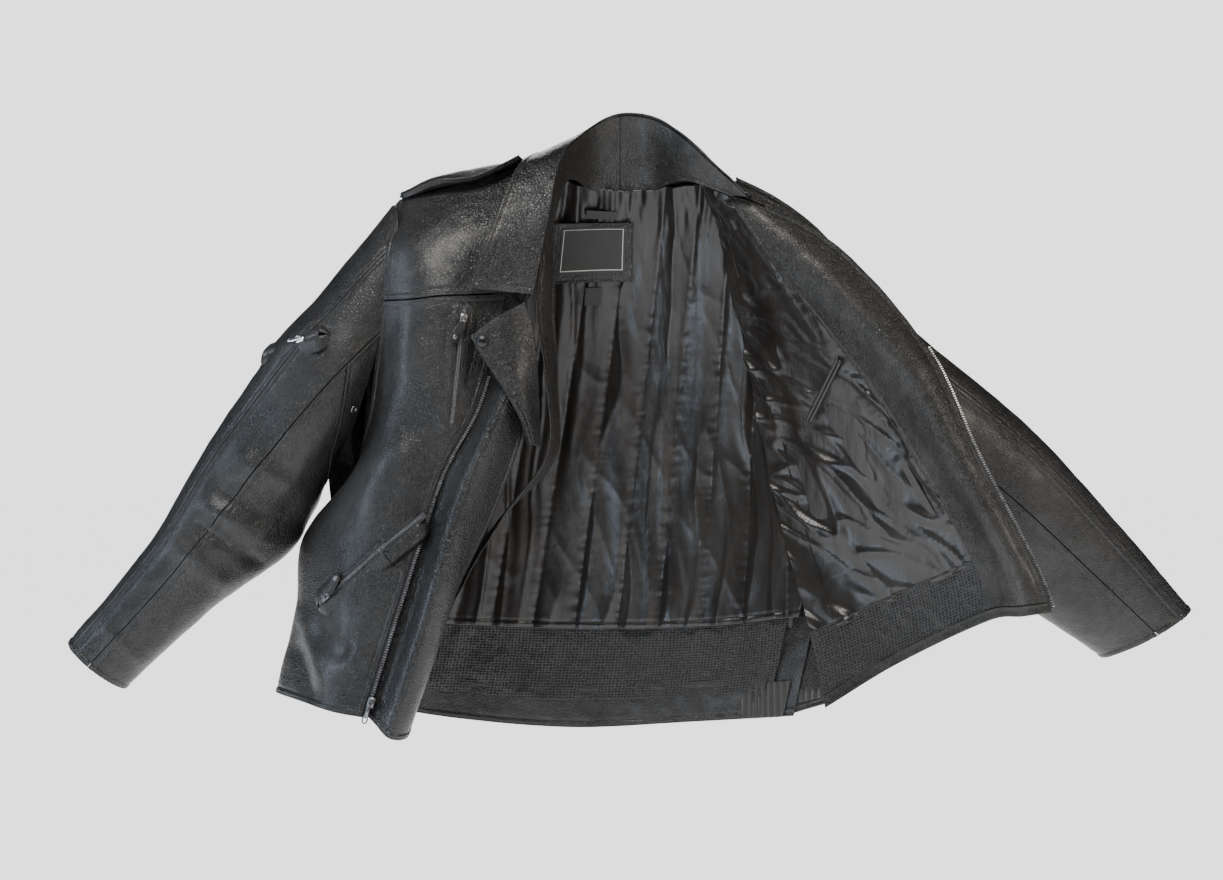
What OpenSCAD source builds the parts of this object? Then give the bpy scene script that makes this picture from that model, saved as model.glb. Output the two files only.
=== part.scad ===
// Black leather riding jacket with an offset front zip, hung open on its shoulders.
// X runs to the wearer's left, Y to the back, Z up; the origin is the middle of the neck seam's height.

/* [Garment] */
// Half the width across the back below the armholes
half_back = 370; // [280:1:440]
// Fullness from the front of the neck to the back
fullness = 120; // [90:1:160]
// Back length from the neck seam to the hem
back_length = 690; // [560:1:800]
// Sleeve length against the base size
sleeve_length = 1.0; // [0.8:0.01:1.2]
// Sleeve width against the base size
sleeve_width = 1.0; // [0.85:0.01:1.15]

/* [Materials] */
// Thickness of the leather
leather = 2.2; // [1.2:0.1:3]
// Thickness of the quilted satin lining
quilt = 5; // [2:0.5:7]
// Thickness of the plain satin and the net
satin = 1.2; // [0.8:0.1:2]
// Space between the leather and the lining
loft = 4; // [3:0.5:6]

/* [Zips] */
// Width of a pocket zip's tape
tape_w = 20; // [16:1:28]
// Width of a pocket zip's closed chain
chain_w = 5; // [4:0.5:7]
// Height of the chain above the tape
chain_h = 2; // [1.5:0.1:3]
// Play between a slider and the chain
slider_play = 0.5; // [0.4:0.1:1]
// Length of a slider
slider_len = 12; // [9:0.5:16]
// Length of a leather puller
puller_len = 34; // [20:1:45]
// Width of a leather puller
puller_w = 13; // [9:0.5:16]
// Length of the front zip's metal pull
pull_len = 26; // [16:1:34]

/* [Fasteners] */
// Radius of the lapel snap's cap
snap_r = 7; // [5:0.5:9]
// Outer radius of the underarm eyelet
eyelet_r = 5; // [4:0.5:7]

/* [Hidden] */
sx = half_back / 370;
sy = fullness / 120;
sz = back_length / 690;
lining_in = loft + quilt;
front_in = loft + 4;
$fn = 40;

function scaled(rows) = [for (r = rows) [for (p = r) [p[0] * sx, p[1] * sy, p[2] * sz]]];

// Back, from the wearer's right side seam to the left one, shoulder down to hem
back_net = scaled([
    [[-285, 10, -20], [-155, 20, 30], [0, 60, 10], [150, 35, 10], [300, 40, -95]],
    [[-325, 45, -60], [-160, 80, -60], [-5, 90, -55], [150, 80, -60], [308, 72, -140]],
    [[-360, 65, -165], [-185, 100, -200], [-10, 115, -200], [170, 100, -200], [308, 84, -240]],
    [[-370, 10, -365], [-200, 110, -370], [-25, 120, -375], [160, 105, -370], [305, 42, -365]],
    [[-355, 60, -535], [-200, 108, -545], [-45, 120, -550], [135, 95, -545], [265, 35, -525]],
    [[-370, 65, -665], [-225, 98, -695], [-65, 110, -710], [95, 90, -700], [230, 40, -685]]
]);

// Right front, from the armhole and side seam to the zip, shoulder down to hem
right_net = scaled([
    [[-285, 10, -20], [-230, -10, -5], [-175, -15, 8], [-130, -5, 25], [-92, 10, 35]],
    [[-295, -40, -93], [-250, -66, -90], [-210, -72, -85], [-167, -66, -80], [-125, -56, -75]],
    [[-300, -54, -205], [-258, -88, -207], [-222, -96, -204], [-190, -91, -202], [-155, -82, -200]],
    [[-314, -40, -295], [-284, -88, -292], [-245, -108, -290], [-210, -110, -286], [-177, -101, -283]],
    [[-338, 20, -365], [-330, -66, -365], [-296, -110, -364], [-252, -122, -362], [-217, -118, -362]],
    [[-360, 58, -462], [-400, -10, -447], [-345, -95, -443], [-292, -128, -444], [-243, -132, -443]],
    [[-355, 62, -548], [-410, -15, -536], [-358, -102, -531], [-312, -140, -531], [-270, -148, -532]],
    [[-370, 65, -665], [-432, -25, -645], [-387, -115, -645], [-344, -160, -651], [-308, -170, -656]]
]);

// Rolled wind flap beside the front zip
flap_net = scaled([
    [[-143, -98, -245], [-131, -112, -247], [-118, -104, -250], [-102, -85, -258]],
    [[-210, -130, -399], [-191, -150, -399], [-172, -134, -401], [-150, -95, -398]],
    [[-251, -150, -542], [-231, -172, -541], [-212, -150, -544], [-215, -110, -538]],
    [[-291, -172, -664], [-273, -190, -678], [-256, -170, -680], [-255, -130, -664]]
]);

// Facing behind the flap and the lapel
facing_net = scaled([
    [[-84, -48, -30], [-75, -36, -30], [-66, -20, -30]],
    [[-96, -64, -100], [-85, -52, -98], [-75, -34, -96]],
    [[-106, -80, -168], [-95, -66, -166], [-84, -44, -164]],
    [[-94, -84, -250], [-86, -68, -250], [-80, -44, -250]],
    [[-92, -74, -340], [-88, -60, -345], [-84, -38, -350]],
    [[-150, -80, -425], [-152, -62, -428], [-158, -38, -430]],
    [[-218, -95, -545], [-222, -75, -545], [-235, -45, -545]],
    [[-258, -115, -655], [-262, -92, -655], [-270, -60, -655]]
]);

// Strap over the right shoulder seam, front edge to back edge
strap_net = scaled([
    [[-279, 2, -18], [-232, -14, -5], [-177, -19, 7], [-131, -9, 24], [-94, 6, 34]],
    [[-281, 9, -12], [-240, 4, 6], [-178, 5, 21], [-128, 13, 31], [-93, 23, 38]],
    [[-283, 18, -17], [-236, 23, 2], [-170, 29, 24], [-118, 38, 30], [-84, 50, 24]]
]);

// Low side of the body between the back and the turned front
side_net = scaled([
    [[268, 38, -530], [262, 30, -552], [250, 18, -588]],
    [[252, 42, -605], [256, 32, -615], [257, 12, -632]],
    [[236, 45, -682], [250, 34, -680], [262, 8, -670]]
]);

// Right lapel, from its free edge to its roll line
lapel_net = scaled([
    [[-183, -118, -200], [-153, -116, -177], [-118, -100, -157]],
    [[-162, -122, -235], [-137, -118, -216], [-106, -100, -197]],
    [[-140, -124, -269], [-122, -118, -259], [-102, -98, -246]],
    [[-122, -122, -302], [-111, -112, -296], [-100, -94, -292]],
    [[-113, -110, -331], [-106, -100, -332], [-99, -88, -336]]
]);

// Left front, turned open with its lining outwards, from the fold to the zip edge
left_net = scaled([
    [[104, 24, 3], [120, 10, -4], [137, 2, -12], [156, -5, -18], [175, -10, -26]],
    [[133, 58, -78], [162, 10, -79], [192, -25, -100], [233, -45, -95], [275, -35, -83]],
    [[167, 70, -248], [237, 5, -249], [303, -50, -246], [344, -95, -230], [379, -75, -212]],
    [[203, 58, -430], [294, -5, -418], [380, -70, -373], [410, -114, -360], [435, -106, -344]],
    [[241, 6, -593], [341, -15, -540], [440, -86, -486], [471, -130, -477], [498, -128, -474]],
    [[254, -6, -673], [352, -20, -610], [449, -90, -550], [488, -134, -539], [521, -136, -534]]
]);

// Left shoulder leather behind the turned front
left_yoke_net = scaled([
    [[150, 33, 16], [200, 29, -10], [250, 28, -47], [295, 32, -94]],
    [[160, 42, -50], [205, 28, -75], [250, 14, -105], [290, 8, -148]],
    [[190, 58, -180], [222, 44, -192], [255, 24, -208], [286, 2, -255]]
]);

// Collar roll line from the right lapel round the neck to the left one
roll_line = [
    [-111, -92, -150], [-91, -72, -47], [-76, -36, 27], [-41, 12, 73], [0, 32, 94],
    [47, 26, 87], [87, -4, 55], [129, -18, 14], [168, -24, -22]
];
neck_seam = [
    [-119, -74, -154], [-89, -52, -65], [-69, -8, 6], [-39, 42, 5], [0, 55, 4],
    [42, 48, 6], [78, 14, 10], [104, -4, 2], [150, -14, -16]
];
leaf_edge = [
    [-190, -100, -142], [-161, -86, -69], [-131, -45, 13], [-100, 30, 43], [-50, 92, 36],
    [0, 104, 28], [56, 98, 34], [108, 62, 36], [176, 8, -24]
];
stand_net = scaled([roll_line, neck_seam]);
leaf_net = scaled([roll_line, leaf_edge]);

// Sleeve stations: upper edge X Z, lower edge X Z, depth Y, and the front bulge X Y
right_arm = [
    [-288, -24, -371, -362, 8, 30, -62],
    [-358, -110, -382, -393, 0, 15, -72],
    [-485, -275, -423, -466, -10, 0, -64],
    [-596, -459, -527, -545, -22, 0, -50],
    [-694, -581, -627, -637, -32, 0, -38]
];
left_arm = [
    [299, -95, 312, -365, 38, -10, -45],
    [372, -176, 346, -411, 50, 0, -52],
    [529, -300, 457, -487, 80, 0, -58],
    [670, -444, 570, -563, 112, 0, -48],
    [770, -555, 654, -619, 140, 4, -38]
];

// Curves and surfaces

function bend(p0, p1, p2, p3, t) = 0.5 * (2 * p1 + (p2 - p0) * t
    + (2 * p0 - 5 * p1 + 4 * p2 - p3) * t * t
    + (3 * p1 - p0 - 3 * p2 + p3) * t * t * t);

function along(P, t) = let (
    n = len(P) - 1,
    k = max(0, min(floor(t * n), n - 1)),
    a = k > 0 ? P[k - 1] : 2 * P[0] - P[1],
    b = k + 2 <= n ? P[k + 2] : 2 * P[n] - P[n - 1]
) bend(a, P[k], P[k + 1], b, t * n - k);

function on(N, u, v) = along([for (r = N) along(r, u)], v);

function unit(a) = a / norm(a);

function facing_way(N, u, v) = let (e = 0.01)
    unit(cross(on(N, min(u + e, 1), v) - on(N, max(u - e, 0), v),
               on(N, u, min(v + e, 1)) - on(N, u, max(v - e, 0))));

function off(N, u, v, t) = on(N, u, v) + t * facing_way(N, u, v);

function cuts(a, b, n) = concat([a],
    [for (i = [1 : n - 1]) if (i / n > a + 0.3 / n && i / n < b - 0.3 / n) i / n], [b]);

// One sleeve: angle a goes from the upper edge over the front to the lower edge
function station(arm, v) = let (s = along(arm, v), f = arm[0]) [
    [f[0] * sx + (s[0] - f[0]) * sleeve_length, s[4] * sy, f[1] * sz + (s[1] - f[1]) * sleeve_length],
    [f[0] * sx + (s[2] - f[0]) * sleeve_length, s[4] * sy, f[1] * sz + (s[3] - f[1]) * sleeve_length],
    [s[5], s[6] * sy, 0]
];

function sleeve_on(arm, a, v) = let (s = station(arm, v))
    (s[0] + s[1]) / 2 + (s[0] - s[1]) / 2 * sleeve_width * cos(a) + s[2] * sin(a);

function sleeve_at(arm, a, v, t) = let (
    side = arm[0][0] < 0 ? 1 : -1,
    down = sleeve_on(arm, a, min(v + 0.01, 1)) - sleeve_on(arm, a, max(v - 0.01, 0)),
    round = sleeve_on(arm, a + 2, v) - sleeve_on(arm, a - 2, v)
) sleeve_on(arm, a, v) + t * side * unit(cross(down, round));

// Closes two matching grids of points into one solid; the second is on the outer side
module slab(under, over) {
    w = len(under[0]);
    h = len(under);
    n = w * h;
    tops = [for (j = [0 : h - 2], i = [0 : w - 2]) let (q = j * w + i)
        each [[q + n, q + n + w + 1, q + n + 1], [q + n, q + n + w, q + n + w + 1]]];
    lows = [for (j = [0 : h - 2], i = [0 : w - 2]) let (q = j * w + i)
        each [[q, q + 1, q + w + 1], [q, q + w + 1, q + w]]];
    rim = concat(
        [for (i = [0 : w - 2]) [i, i + 1]],
        [for (j = [0 : h - 2]) [j * w + w - 1, j * w + 2 * w - 1]],
        [for (i = [w - 1 : -1 : 1]) [(h - 1) * w + i, (h - 1) * w + i - 1]],
        [for (j = [h - 1 : -1 : 1]) [j * w, j * w - w]]
    );
    sides = [for (e = rim) each [[e[1], e[0], e[0] + n], [e[1], e[0] + n, e[1] + n]]];
    polyhedron([for (r = under) each r, for (r = over) each r], concat(tops, lows, sides), 4);
}

// A panel cut from a net between u0-u1 and v0-v1, from t0 to t1 along its normal
module panel(N, u0, u1, v0, v1, t0, t1, nu = 8, nv = 10) {
    us = cuts(u0, u1, nu);
    vs = cuts(v0, v1, nv);
    slab([for (v = vs) [for (u = us) off(N, u, v, t0)]],
         [for (v = vs) [for (u = us) off(N, u, v, t1)]]);
}

// A strip of a sleeve between two angles
module arm_panel(arm, a0, a1, v0, v1, t0, t1, na = 5, nv = 9) {
    turn = arm[0][0] < 0 ? -1 : 1;
    as = [for (i = [0 : na]) turn > 0 ? a0 + (a1 - a0) * i / na : a1 + (a0 - a1) * i / na];
    vs = cuts(v0, v1, nv);
    slab([for (v = vs) [for (a = as) sleeve_at(arm, a, v, t0)]],
         [for (v = vs) [for (a = as) sleeve_at(arm, a, v, t1)]]);
}

// Puts x along from, z along the outward way
module placed(from, to, out) {
    x = unit(to - from);
    y = unit(cross(out, x));
    z = cross(x, y);
    multmatrix([[x[0], y[0], z[0], from[0]], [x[1], y[1], z[1], from[1]], [x[2], y[2], z[2], from[2]]])
        children();
}

module black() { color([0.055, 0.055, 0.06]) children(); }
module lining() { color([0.16, 0.15, 0.145]) children(); }
module net_cloth() { color([0.03, 0.03, 0.032]) children(); }
module metal() { color([0.22, 0.22, 0.23]) children(); }
module bright() { color([0.62, 0.64, 0.66]) children(); }

// Back

// Back yoke over the shoulders
module back_yoke() { black() panel(back_net, 0.012, 0.985, 0.004, 0.225, 0, leather, 12, 10); }

// Back panel down to the hem
module back_panel() { black() panel(back_net, 0.012, 0.985, 0.23, 1, 0, leather, 12, 10); }

// Leather facing inside the back hem
module back_hem_facing() { black() panel(back_net, 0.11, 0.86, 0.93, 0.998, -4, -4 + leather, 10, 10); }

// Ribbed elastic at each side of the hem
module side_elastic(u0, u1) {
    rib = (u1 - u0) / 6;
    black() {
        panel(back_net, u0, u1, 0.945, 0.995, -4.5, -2, 12, 10);
        for (i = [0 : 5])
            panel(back_net, u0 + (i + 0.15) * rib, u0 + (i + 0.8) * rib, 0.948, 0.992, -6.5, -3.2, 12, 10);
    }
}
module right_side_elastic() { side_elastic(0.035, 0.1); }
module left_side_elastic() { side_elastic(0.87, 0.965); }

// Quilted back lining
module back_liner() { lining() panel(back_net, 0.06, 0.8, 0.03, 0.825, -loft - quilt, -loft, 12, 10); }

// Net lining under the quilt
module back_mesh() { net_cloth() panel(back_net, 0.1, 0.84, 0.832, 0.92, -8 - satin, -8, 10, 10); }

// Blank label patch and two plain tags on the lining
module label_patch() { black() panel(back_net, 0.363, 0.537, 0.15, 0.29, -lining_in - 5, -lining_in - 3, 12, 10); }
module fibre_tag() { black() panel(back_net, 0.43, 0.5, 0.1, 0.135, -lining_in - 4.5, -lining_in - 3.5, 12, 10); }
module size_tag() { black() panel(back_net, 0.44, 0.475, 0.3, 0.33, -lining_in - 4.5, -lining_in - 3.5, 12, 10); }

// Right front

module right_front_yoke() { black() panel(right_net, 0.06, 1, 0.012, 0.215, -leather, 0, 8, 14); }
module right_front_panel() { black() panel(right_net, 0.06, 1, 0.222, 1, -leather, 0, 8, 14); }
module right_wind_flap() { black() panel(flap_net, 0, 1, 0, 1, -leather, 0, 9, 9); }
module right_front_facing() { black() panel(facing_net, 0.12, 1, 0.13, 1, -leather, 0, 2, 12); }
module right_shoulder_strap() { black() panel(strap_net, 0.03, 0.82, 0.04, 0.94, 3.6, 3.6 + leather, 6, 5); }
module right_lapel() { black() panel(lapel_net, 0, 1, 0, 1, -leather, 0, 4, 8); }
module right_lapel_facing() { black() panel(lapel_net, 0.03, 0.97, 0.02, 0.98, 0.5, 0.5 + leather / 2, 4, 8); }
module right_front_liner() { lining() panel(right_net, 0.2, 0.93, 0.05, 0.86, front_in, front_in + 2, 8, 14); }
module chest_pocket_bag() { lining() panel(right_net, 0.5, 0.9, 0.3, 0.5, 2.5, 3.7, 8, 14); }
module hip_pocket_bag() { lining() panel(right_net, 0.45, 0.92, 0.66, 0.92, 2.5, 3.7, 8, 14); }

// Left front

module left_front_yoke() { black() panel(left_yoke_net, 0.25, 1, 0.04, 1, -leather, 0, 6, 6); }
module left_front_panel() { black() panel(left_net, 0.04, 1, 0.03, 0.998, 6, 6 + leather, 8, 10); }
module left_front_facing() { black() panel(left_net, 0.505, 1, 0.02, 0.95, -leather, 0, 8, 10); }
module left_front_liner() { lining() panel(left_net, 0.03, 0.49, 0.02, 0.84, -2, 0, 8, 10); }
module left_mesh() { net_cloth() panel(left_net, 0.03, 0.49, 0.85, 0.955, -satin, 0, 8, 10); }
module left_hem_band() { black() panel(left_net, 0.03, 1, 0.962, 0.998, -leather, 0, 8, 10); }
module inner_pocket_bag() { lining() panel(left_net, 0.12, 0.46, 0.42, 0.7, 2.2, 3.4, 8, 10); }

module left_side_panel() { black() panel(side_net, 0.05, 0.9, 0, 1, -leather, 0, 4, 5); }

// Welt of the inner pocket, a narrow folded strip
welt_from = on(left_net, 0.2, 0.46);
welt_to = on(left_net, 0.44, 0.37);
module inner_pocket_welt() {
    lining() placed(welt_from + [0, -16, 0], welt_to + [0, -12, 0], [-0.5, -0.85, 0])
        translate([0, -4, -1]) cube([norm(welt_to - welt_from), 8, 2]);
}

// Collar

module collar_stand() { black() panel(stand_net, 0.01, 0.99, 0.1, 0.97, -leather, 0, 16, 1); }
module collar_leaf() { black() panel(leaf_net, 0.01, 0.97, 0.09, 1, 0.3, leather, 16, 2); }
module under_collar() { black() panel(leaf_net, 0.01, 0.97, 0.12, 0.97, -leather / 2 - 0.3, -0.3, 16, 2); }

// Sleeves

top_from = -150;
top_to = 46;
mid_to = 88;
under_to = 208;
armhole = 0.016;
gusset_end = 0.22;
gap_deg = 1.2;

module top_sleeve(arm) { black() arm_panel(arm, top_from, top_to, armhole, 1, 0, leather, 8); }
module mid_sleeve(arm) { black() arm_panel(arm, top_to + gap_deg, mid_to, armhole, 1, 0, leather, 3); }
module under_sleeve(arm) { black() arm_panel(arm, mid_to + gap_deg, under_to, gusset_end + 0.005, 1, 0, leather, 6); }
module gusset(arm) { black() arm_panel(arm, mid_to + gap_deg, under_to, armhole, gusset_end, 0, leather, 5); }
module sleeve_lining(arm) {
    lining() arm_panel(arm, top_from + 3, top_from + 357, 0.06, 0.94, -loft - satin, -loft, 14);
}
module right_top_sleeve() { top_sleeve(right_arm); }
module right_mid_sleeve() { mid_sleeve(right_arm); }
module right_under_sleeve() { under_sleeve(right_arm); }
module right_underarm_gusset() { gusset(right_arm); }
module right_sleeve_lining() { sleeve_lining(right_arm); }
module left_top_sleeve() { top_sleeve(left_arm); }
module left_mid_sleeve() { mid_sleeve(left_arm); }
module left_under_sleeve() { under_sleeve(left_arm); }
module left_underarm_gusset() { gusset(left_arm); }
module left_sleeve_lining() { sleeve_lining(left_arm); }

// Front zip: half of it on each edge

zip_top = 0.36;
tooth_h = 2.4;

// A band beside a net's u = 1 edge: from a to b across it, from t0 to t1 through it
module edge_band(N, v0, v1, a, b, t0, t1, nv) {
    vs = cuts(v0, v1, nv);
    across = [for (v = vs) unit(cross(facing_way(N, 1, v), on(N, 1, min(v + 0.01, 1)) - on(N, 1, v - 0.01)))];
    function at(k, s, t) = on(N, 1, vs[k]) - s * across[k] + t * facing_way(N, 1, vs[k]);
    slab([for (k = [0 : len(vs) - 1]) [at(k, a, t0), at(k, b, t0)]],
         [for (k = [0 : len(vs) - 1]) [at(k, a, t1), at(k, b, t1)]]);
}
module main_tape_right() { net_cloth() edge_band(right_net, zip_top, 1, 0.6, 4, -1.4, -0.6, 28); }
module main_teeth_right() { metal() edge_band(right_net, zip_top, 1, 4.4, 8, -2.2, 0.2, 28); }
module main_tape_left() { net_cloth() edge_band(left_net, 0.4, 0.99, 0.6, 4, -1.4, -0.6, 20); }
module main_teeth_left() { metal() edge_band(left_net, 0.4, 0.99, 4.4, 8, -2.2, 0.2, 20); }

// The front slider stands on the straight lower part of the chain
chain_low = on(right_net, 1, 0.985);
chain_high = on(right_net, 1, 6 / 7);
chain_out = -facing_way(right_net, 1, 0.93);
slider_c = 1.0;

// Channel that wraps the free side of a row of teeth
module main_slider() {
    metal() placed(chain_low, chain_high, chain_out) translate([0, -6.2, slider_c]) difference() {
        translate([0, -4.4, -3.2]) cube([slider_len, 8.8, 6.4]);
        translate([-1, -2.6, -1.9]) cube([slider_len + 2, 8, 3.8]);
    }
    metal() placed(chain_low, chain_high, chain_out) translate([0, -6.2, slider_c + 3.2]) {
        for (y = [-3.4, 2.2]) translate([slider_len / 2 - 1, y, -0.2]) cube([2, 1.2, 4.1]);
        translate([slider_len / 2 - 1, -3.4, 2.9]) cube([2, 6.8, 1]);
    }
}

// Metal pull with an eye round the slider's bar
module tag_pull(length, width, thick) {
    difference() {
        union() {
            rotate([90, 0, 0]) cylinder(h = 3.6, r = 2.9, center = true);
            translate([1.5, -width / 2, -2.9]) cube([length, width, thick]);
        }
        rotate([90, 0, 0]) cylinder(h = 5, r = 1.7, center = true);
    }
}
module main_pull() {
    metal() placed(chain_low, chain_high, chain_out)
        translate([slider_len / 2, -6.2, slider_c + 6.6]) rotate([0, 0, 180]) tag_pull(pull_len, 3.6, 1.2);
}

// Pocket zips: each lies straight between two points above the leather

module pocket_zip(from, to, out) {
    L = norm(to - from);
    net_cloth() placed(from, to, out) difference() {
        translate([-6, -tape_w / 2, 0]) cube([L + 12, tape_w, 0.8]);
        translate([-0.4, -chain_w / 2 - 0.3, -1]) cube([L + 0.8, chain_w + 0.6, 3]);
    }
    metal() placed(from, to, out) translate([-0.6, -chain_w / 2, -0.2]) cube([L + 1.2, chain_w, chain_h]);
}

// Slider at distance s from the start of the zip
module pocket_slider(from, to, out, s) {
    inner = chain_w / 2 + slider_play;
    top = chain_h - 0.2 + slider_play;
    placed(from, to, out) translate([s - slider_len / 2, 0, 0]) {
        translate([0, -inner - 1.5, top]) cube([slider_len, 2 * inner + 3, 1.6]);
        for (y = [-inner - 1.5, inner]) translate([0, y, 1.3]) cube([slider_len, 1.5, top - 1.2]);
        for (y = [-3.2, 2.2]) translate([slider_len / 2 - 1, y, top + 1.5]) cube([2, 1, 3.8]);
        translate([slider_len / 2 - 1, -3.2, top + 4.3]) cube([2, 6.4, 1]);
    }
}

// Leather puller on a metal eye with a rivet at its end, swung by lean in the zip's plane
module pocket_puller(from, to, out, s, lean, length, width) {
    top = chain_h - 0.2 + slider_play;
    placed(from, to, out) translate([s, 0, top + 4.8]) {
        tag_pull(6, 3.6, 1.4);
        translate([7, 0, -2.9]) rotate([0, 0, lean]) {
            translate([-1, -width / 2, 0]) cube([length - 6, width, 2.4]);
            translate([length - width / 2 - 6, 0, -0.6]) cylinder(h = 3.8, r = 3.4);
        }
    }
}

chest_top = off(right_net, 0.68, 0.24, -6);
chest_low = off(right_net, 0.85, 0.47, -6);
chest_out = -facing_way(right_net, 0.85, 0.34);
chest_s = 12;
module chest_zip() { pocket_zip(chest_top, chest_low, chest_out); }
module chest_slider() { metal() pocket_slider(chest_top, chest_low, chest_out, chest_s); }
module chest_puller() { black() pocket_puller(chest_top, chest_low, chest_out, chest_s, -25, puller_len, puller_w); }

hip_low = off(right_net, 0.5, 0.85, -11);
hip_mid = off(right_net, 0.8, 0.74, -10);
hip_top = off(right_net, 0.98, 0.675, -9);
hip_out = -facing_way(right_net, 0.65, 0.795);
hip_s = 10;
module hip_zip() {
    pocket_zip(hip_low, hip_mid, hip_out);
    pocket_zip(hip_mid, hip_top, hip_out);
}
module hip_slider() { metal() pocket_slider(hip_low, hip_mid, hip_out, hip_s); }
module hip_puller() { black() pocket_puller(hip_low, hip_mid, hip_out, hip_s, 24, puller_len, puller_w); }

arm_zip_low = sleeve_at(right_arm, 17, 0.42, 9);
arm_zip_top = sleeve_at(right_arm, 54, 0.31, 9);
arm_out = unit(sleeve_at(right_arm, 36, 0.365, 12) - sleeve_at(right_arm, 36, 0.365, 2));
arm_s = 22;
module arm_zip() { pocket_zip(arm_zip_top, arm_zip_low, arm_out); }
module arm_slider() { bright() pocket_slider(arm_zip_top, arm_zip_low, arm_out, arm_s); }
module arm_pull() { bright() pocket_puller(arm_zip_top, arm_zip_low, arm_out, arm_s, -20, 20, 6); }

// Snap at the lapel's tip and the eyelet under the arm

snap_at = off(lapel_net, 0.14, 0.09, -leather);
snap_out = -facing_way(lapel_net, 0.14, 0.09);
module lapel_snap_cap() {
    metal() placed(snap_at, snap_at + cross(snap_out, [0, 0, 1]), snap_out) translate([0, 0, 0.4])
        rotate_extrude() polygon([[0, 0], [snap_r, 0], [snap_r, 0.8], [snap_r * 0.85, 1.9], [snap_r * 0.5, 2.5], [0, 2.7]]);
}
module lapel_snap_socket() {
    metal() placed(snap_at, snap_at + cross(snap_out, [0, 0, 1]), snap_out)
        translate([0, 0, -leather * 1.5 - 4.4]) difference() {
            cylinder(h = 3.4, r = snap_r * 0.8);
            translate([0, 0, -1]) cylinder(h = 3, r = snap_r * 0.4);
        }
}

eyelet_at = sleeve_at(right_arm, 118, 0.09, leather + 1.2);
eyelet_out = unit(sleeve_at(right_arm, 118, 0.09, 10) - sleeve_at(right_arm, 118, 0.09, 0));
module underarm_eyelet() {
    metal() placed(eyelet_at, eyelet_at + cross(eyelet_out, [0, 0, 1]), eyelet_out) difference() {
        cylinder(h = 1.4, r = eyelet_r);
        translate([0, 0, -1]) cylinder(h = 4, r = eyelet_r * 0.5);
    }
}

back_yoke();
back_panel();
back_hem_facing();
right_side_elastic();
left_side_elastic();
back_liner();
back_mesh();
label_patch();
fibre_tag();
size_tag();
right_shoulder_strap();
right_front_yoke();
right_front_panel();
right_wind_flap();
right_front_facing();
right_lapel();
right_lapel_facing();
right_front_liner();
chest_pocket_bag();
hip_pocket_bag();
left_front_yoke();
left_front_panel();
left_front_facing();
left_front_liner();
left_mesh();
left_hem_band();
left_side_panel();
inner_pocket_welt();
inner_pocket_bag();
collar_stand();
collar_leaf();
under_collar();
right_top_sleeve();
right_mid_sleeve();
right_under_sleeve();
right_underarm_gusset();
right_sleeve_lining();
left_top_sleeve();
left_mid_sleeve();
left_under_sleeve();
left_underarm_gusset();
left_sleeve_lining();
main_tape_right();
main_teeth_right();
main_tape_left();
main_teeth_left();
main_slider();
main_pull();
chest_zip();
chest_slider();
chest_puller();
hip_zip();
hip_slider();
hip_puller();
arm_zip();
arm_slider();
arm_pull();
lapel_snap_cap();
lapel_snap_socket();
underarm_eyelet();
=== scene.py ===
"""A black leather riding jacket, hung open: leather shell, zips, snap lapel, quilted satin and net lining."""
import itertools
import math

import bmesh
import bpy
import numpy as np
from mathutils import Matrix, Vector


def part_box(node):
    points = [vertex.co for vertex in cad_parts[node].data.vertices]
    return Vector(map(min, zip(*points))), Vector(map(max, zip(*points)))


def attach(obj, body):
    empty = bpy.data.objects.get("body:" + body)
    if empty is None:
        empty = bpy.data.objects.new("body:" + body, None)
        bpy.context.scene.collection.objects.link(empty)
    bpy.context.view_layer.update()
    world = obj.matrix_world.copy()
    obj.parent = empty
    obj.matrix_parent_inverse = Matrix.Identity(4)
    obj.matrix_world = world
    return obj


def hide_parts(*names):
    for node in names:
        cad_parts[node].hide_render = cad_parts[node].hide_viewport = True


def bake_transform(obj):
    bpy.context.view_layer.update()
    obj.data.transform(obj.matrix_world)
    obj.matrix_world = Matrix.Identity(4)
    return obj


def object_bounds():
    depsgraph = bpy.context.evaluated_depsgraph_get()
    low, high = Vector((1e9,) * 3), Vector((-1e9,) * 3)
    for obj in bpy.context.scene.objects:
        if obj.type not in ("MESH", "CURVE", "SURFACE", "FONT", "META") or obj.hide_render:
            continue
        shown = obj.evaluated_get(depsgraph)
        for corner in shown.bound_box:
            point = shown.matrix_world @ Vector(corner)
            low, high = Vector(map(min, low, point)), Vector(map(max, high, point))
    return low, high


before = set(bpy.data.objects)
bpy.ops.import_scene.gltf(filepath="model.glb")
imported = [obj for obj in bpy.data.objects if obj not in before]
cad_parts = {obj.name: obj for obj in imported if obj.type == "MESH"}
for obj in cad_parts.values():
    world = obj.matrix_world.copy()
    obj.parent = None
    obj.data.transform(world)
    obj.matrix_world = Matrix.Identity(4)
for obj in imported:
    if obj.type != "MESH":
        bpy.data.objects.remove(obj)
cad_low, cad_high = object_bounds()
MM = 0.001
PAPER = (2.24, 2.25, 2.29)

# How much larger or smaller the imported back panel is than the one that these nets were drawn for
BACK_CUT = np.array((664.6, 109.5, 640.9)) * MM
back_low, back_high = (np.array(corner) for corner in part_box("back_panel"))
SIZE = (back_high - back_low) / BACK_CUT

# ---------------------------------------------------------------- camera and light

CAMERA_AWAY = 2.4
VIEW_WIDTH = 1.5654


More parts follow.
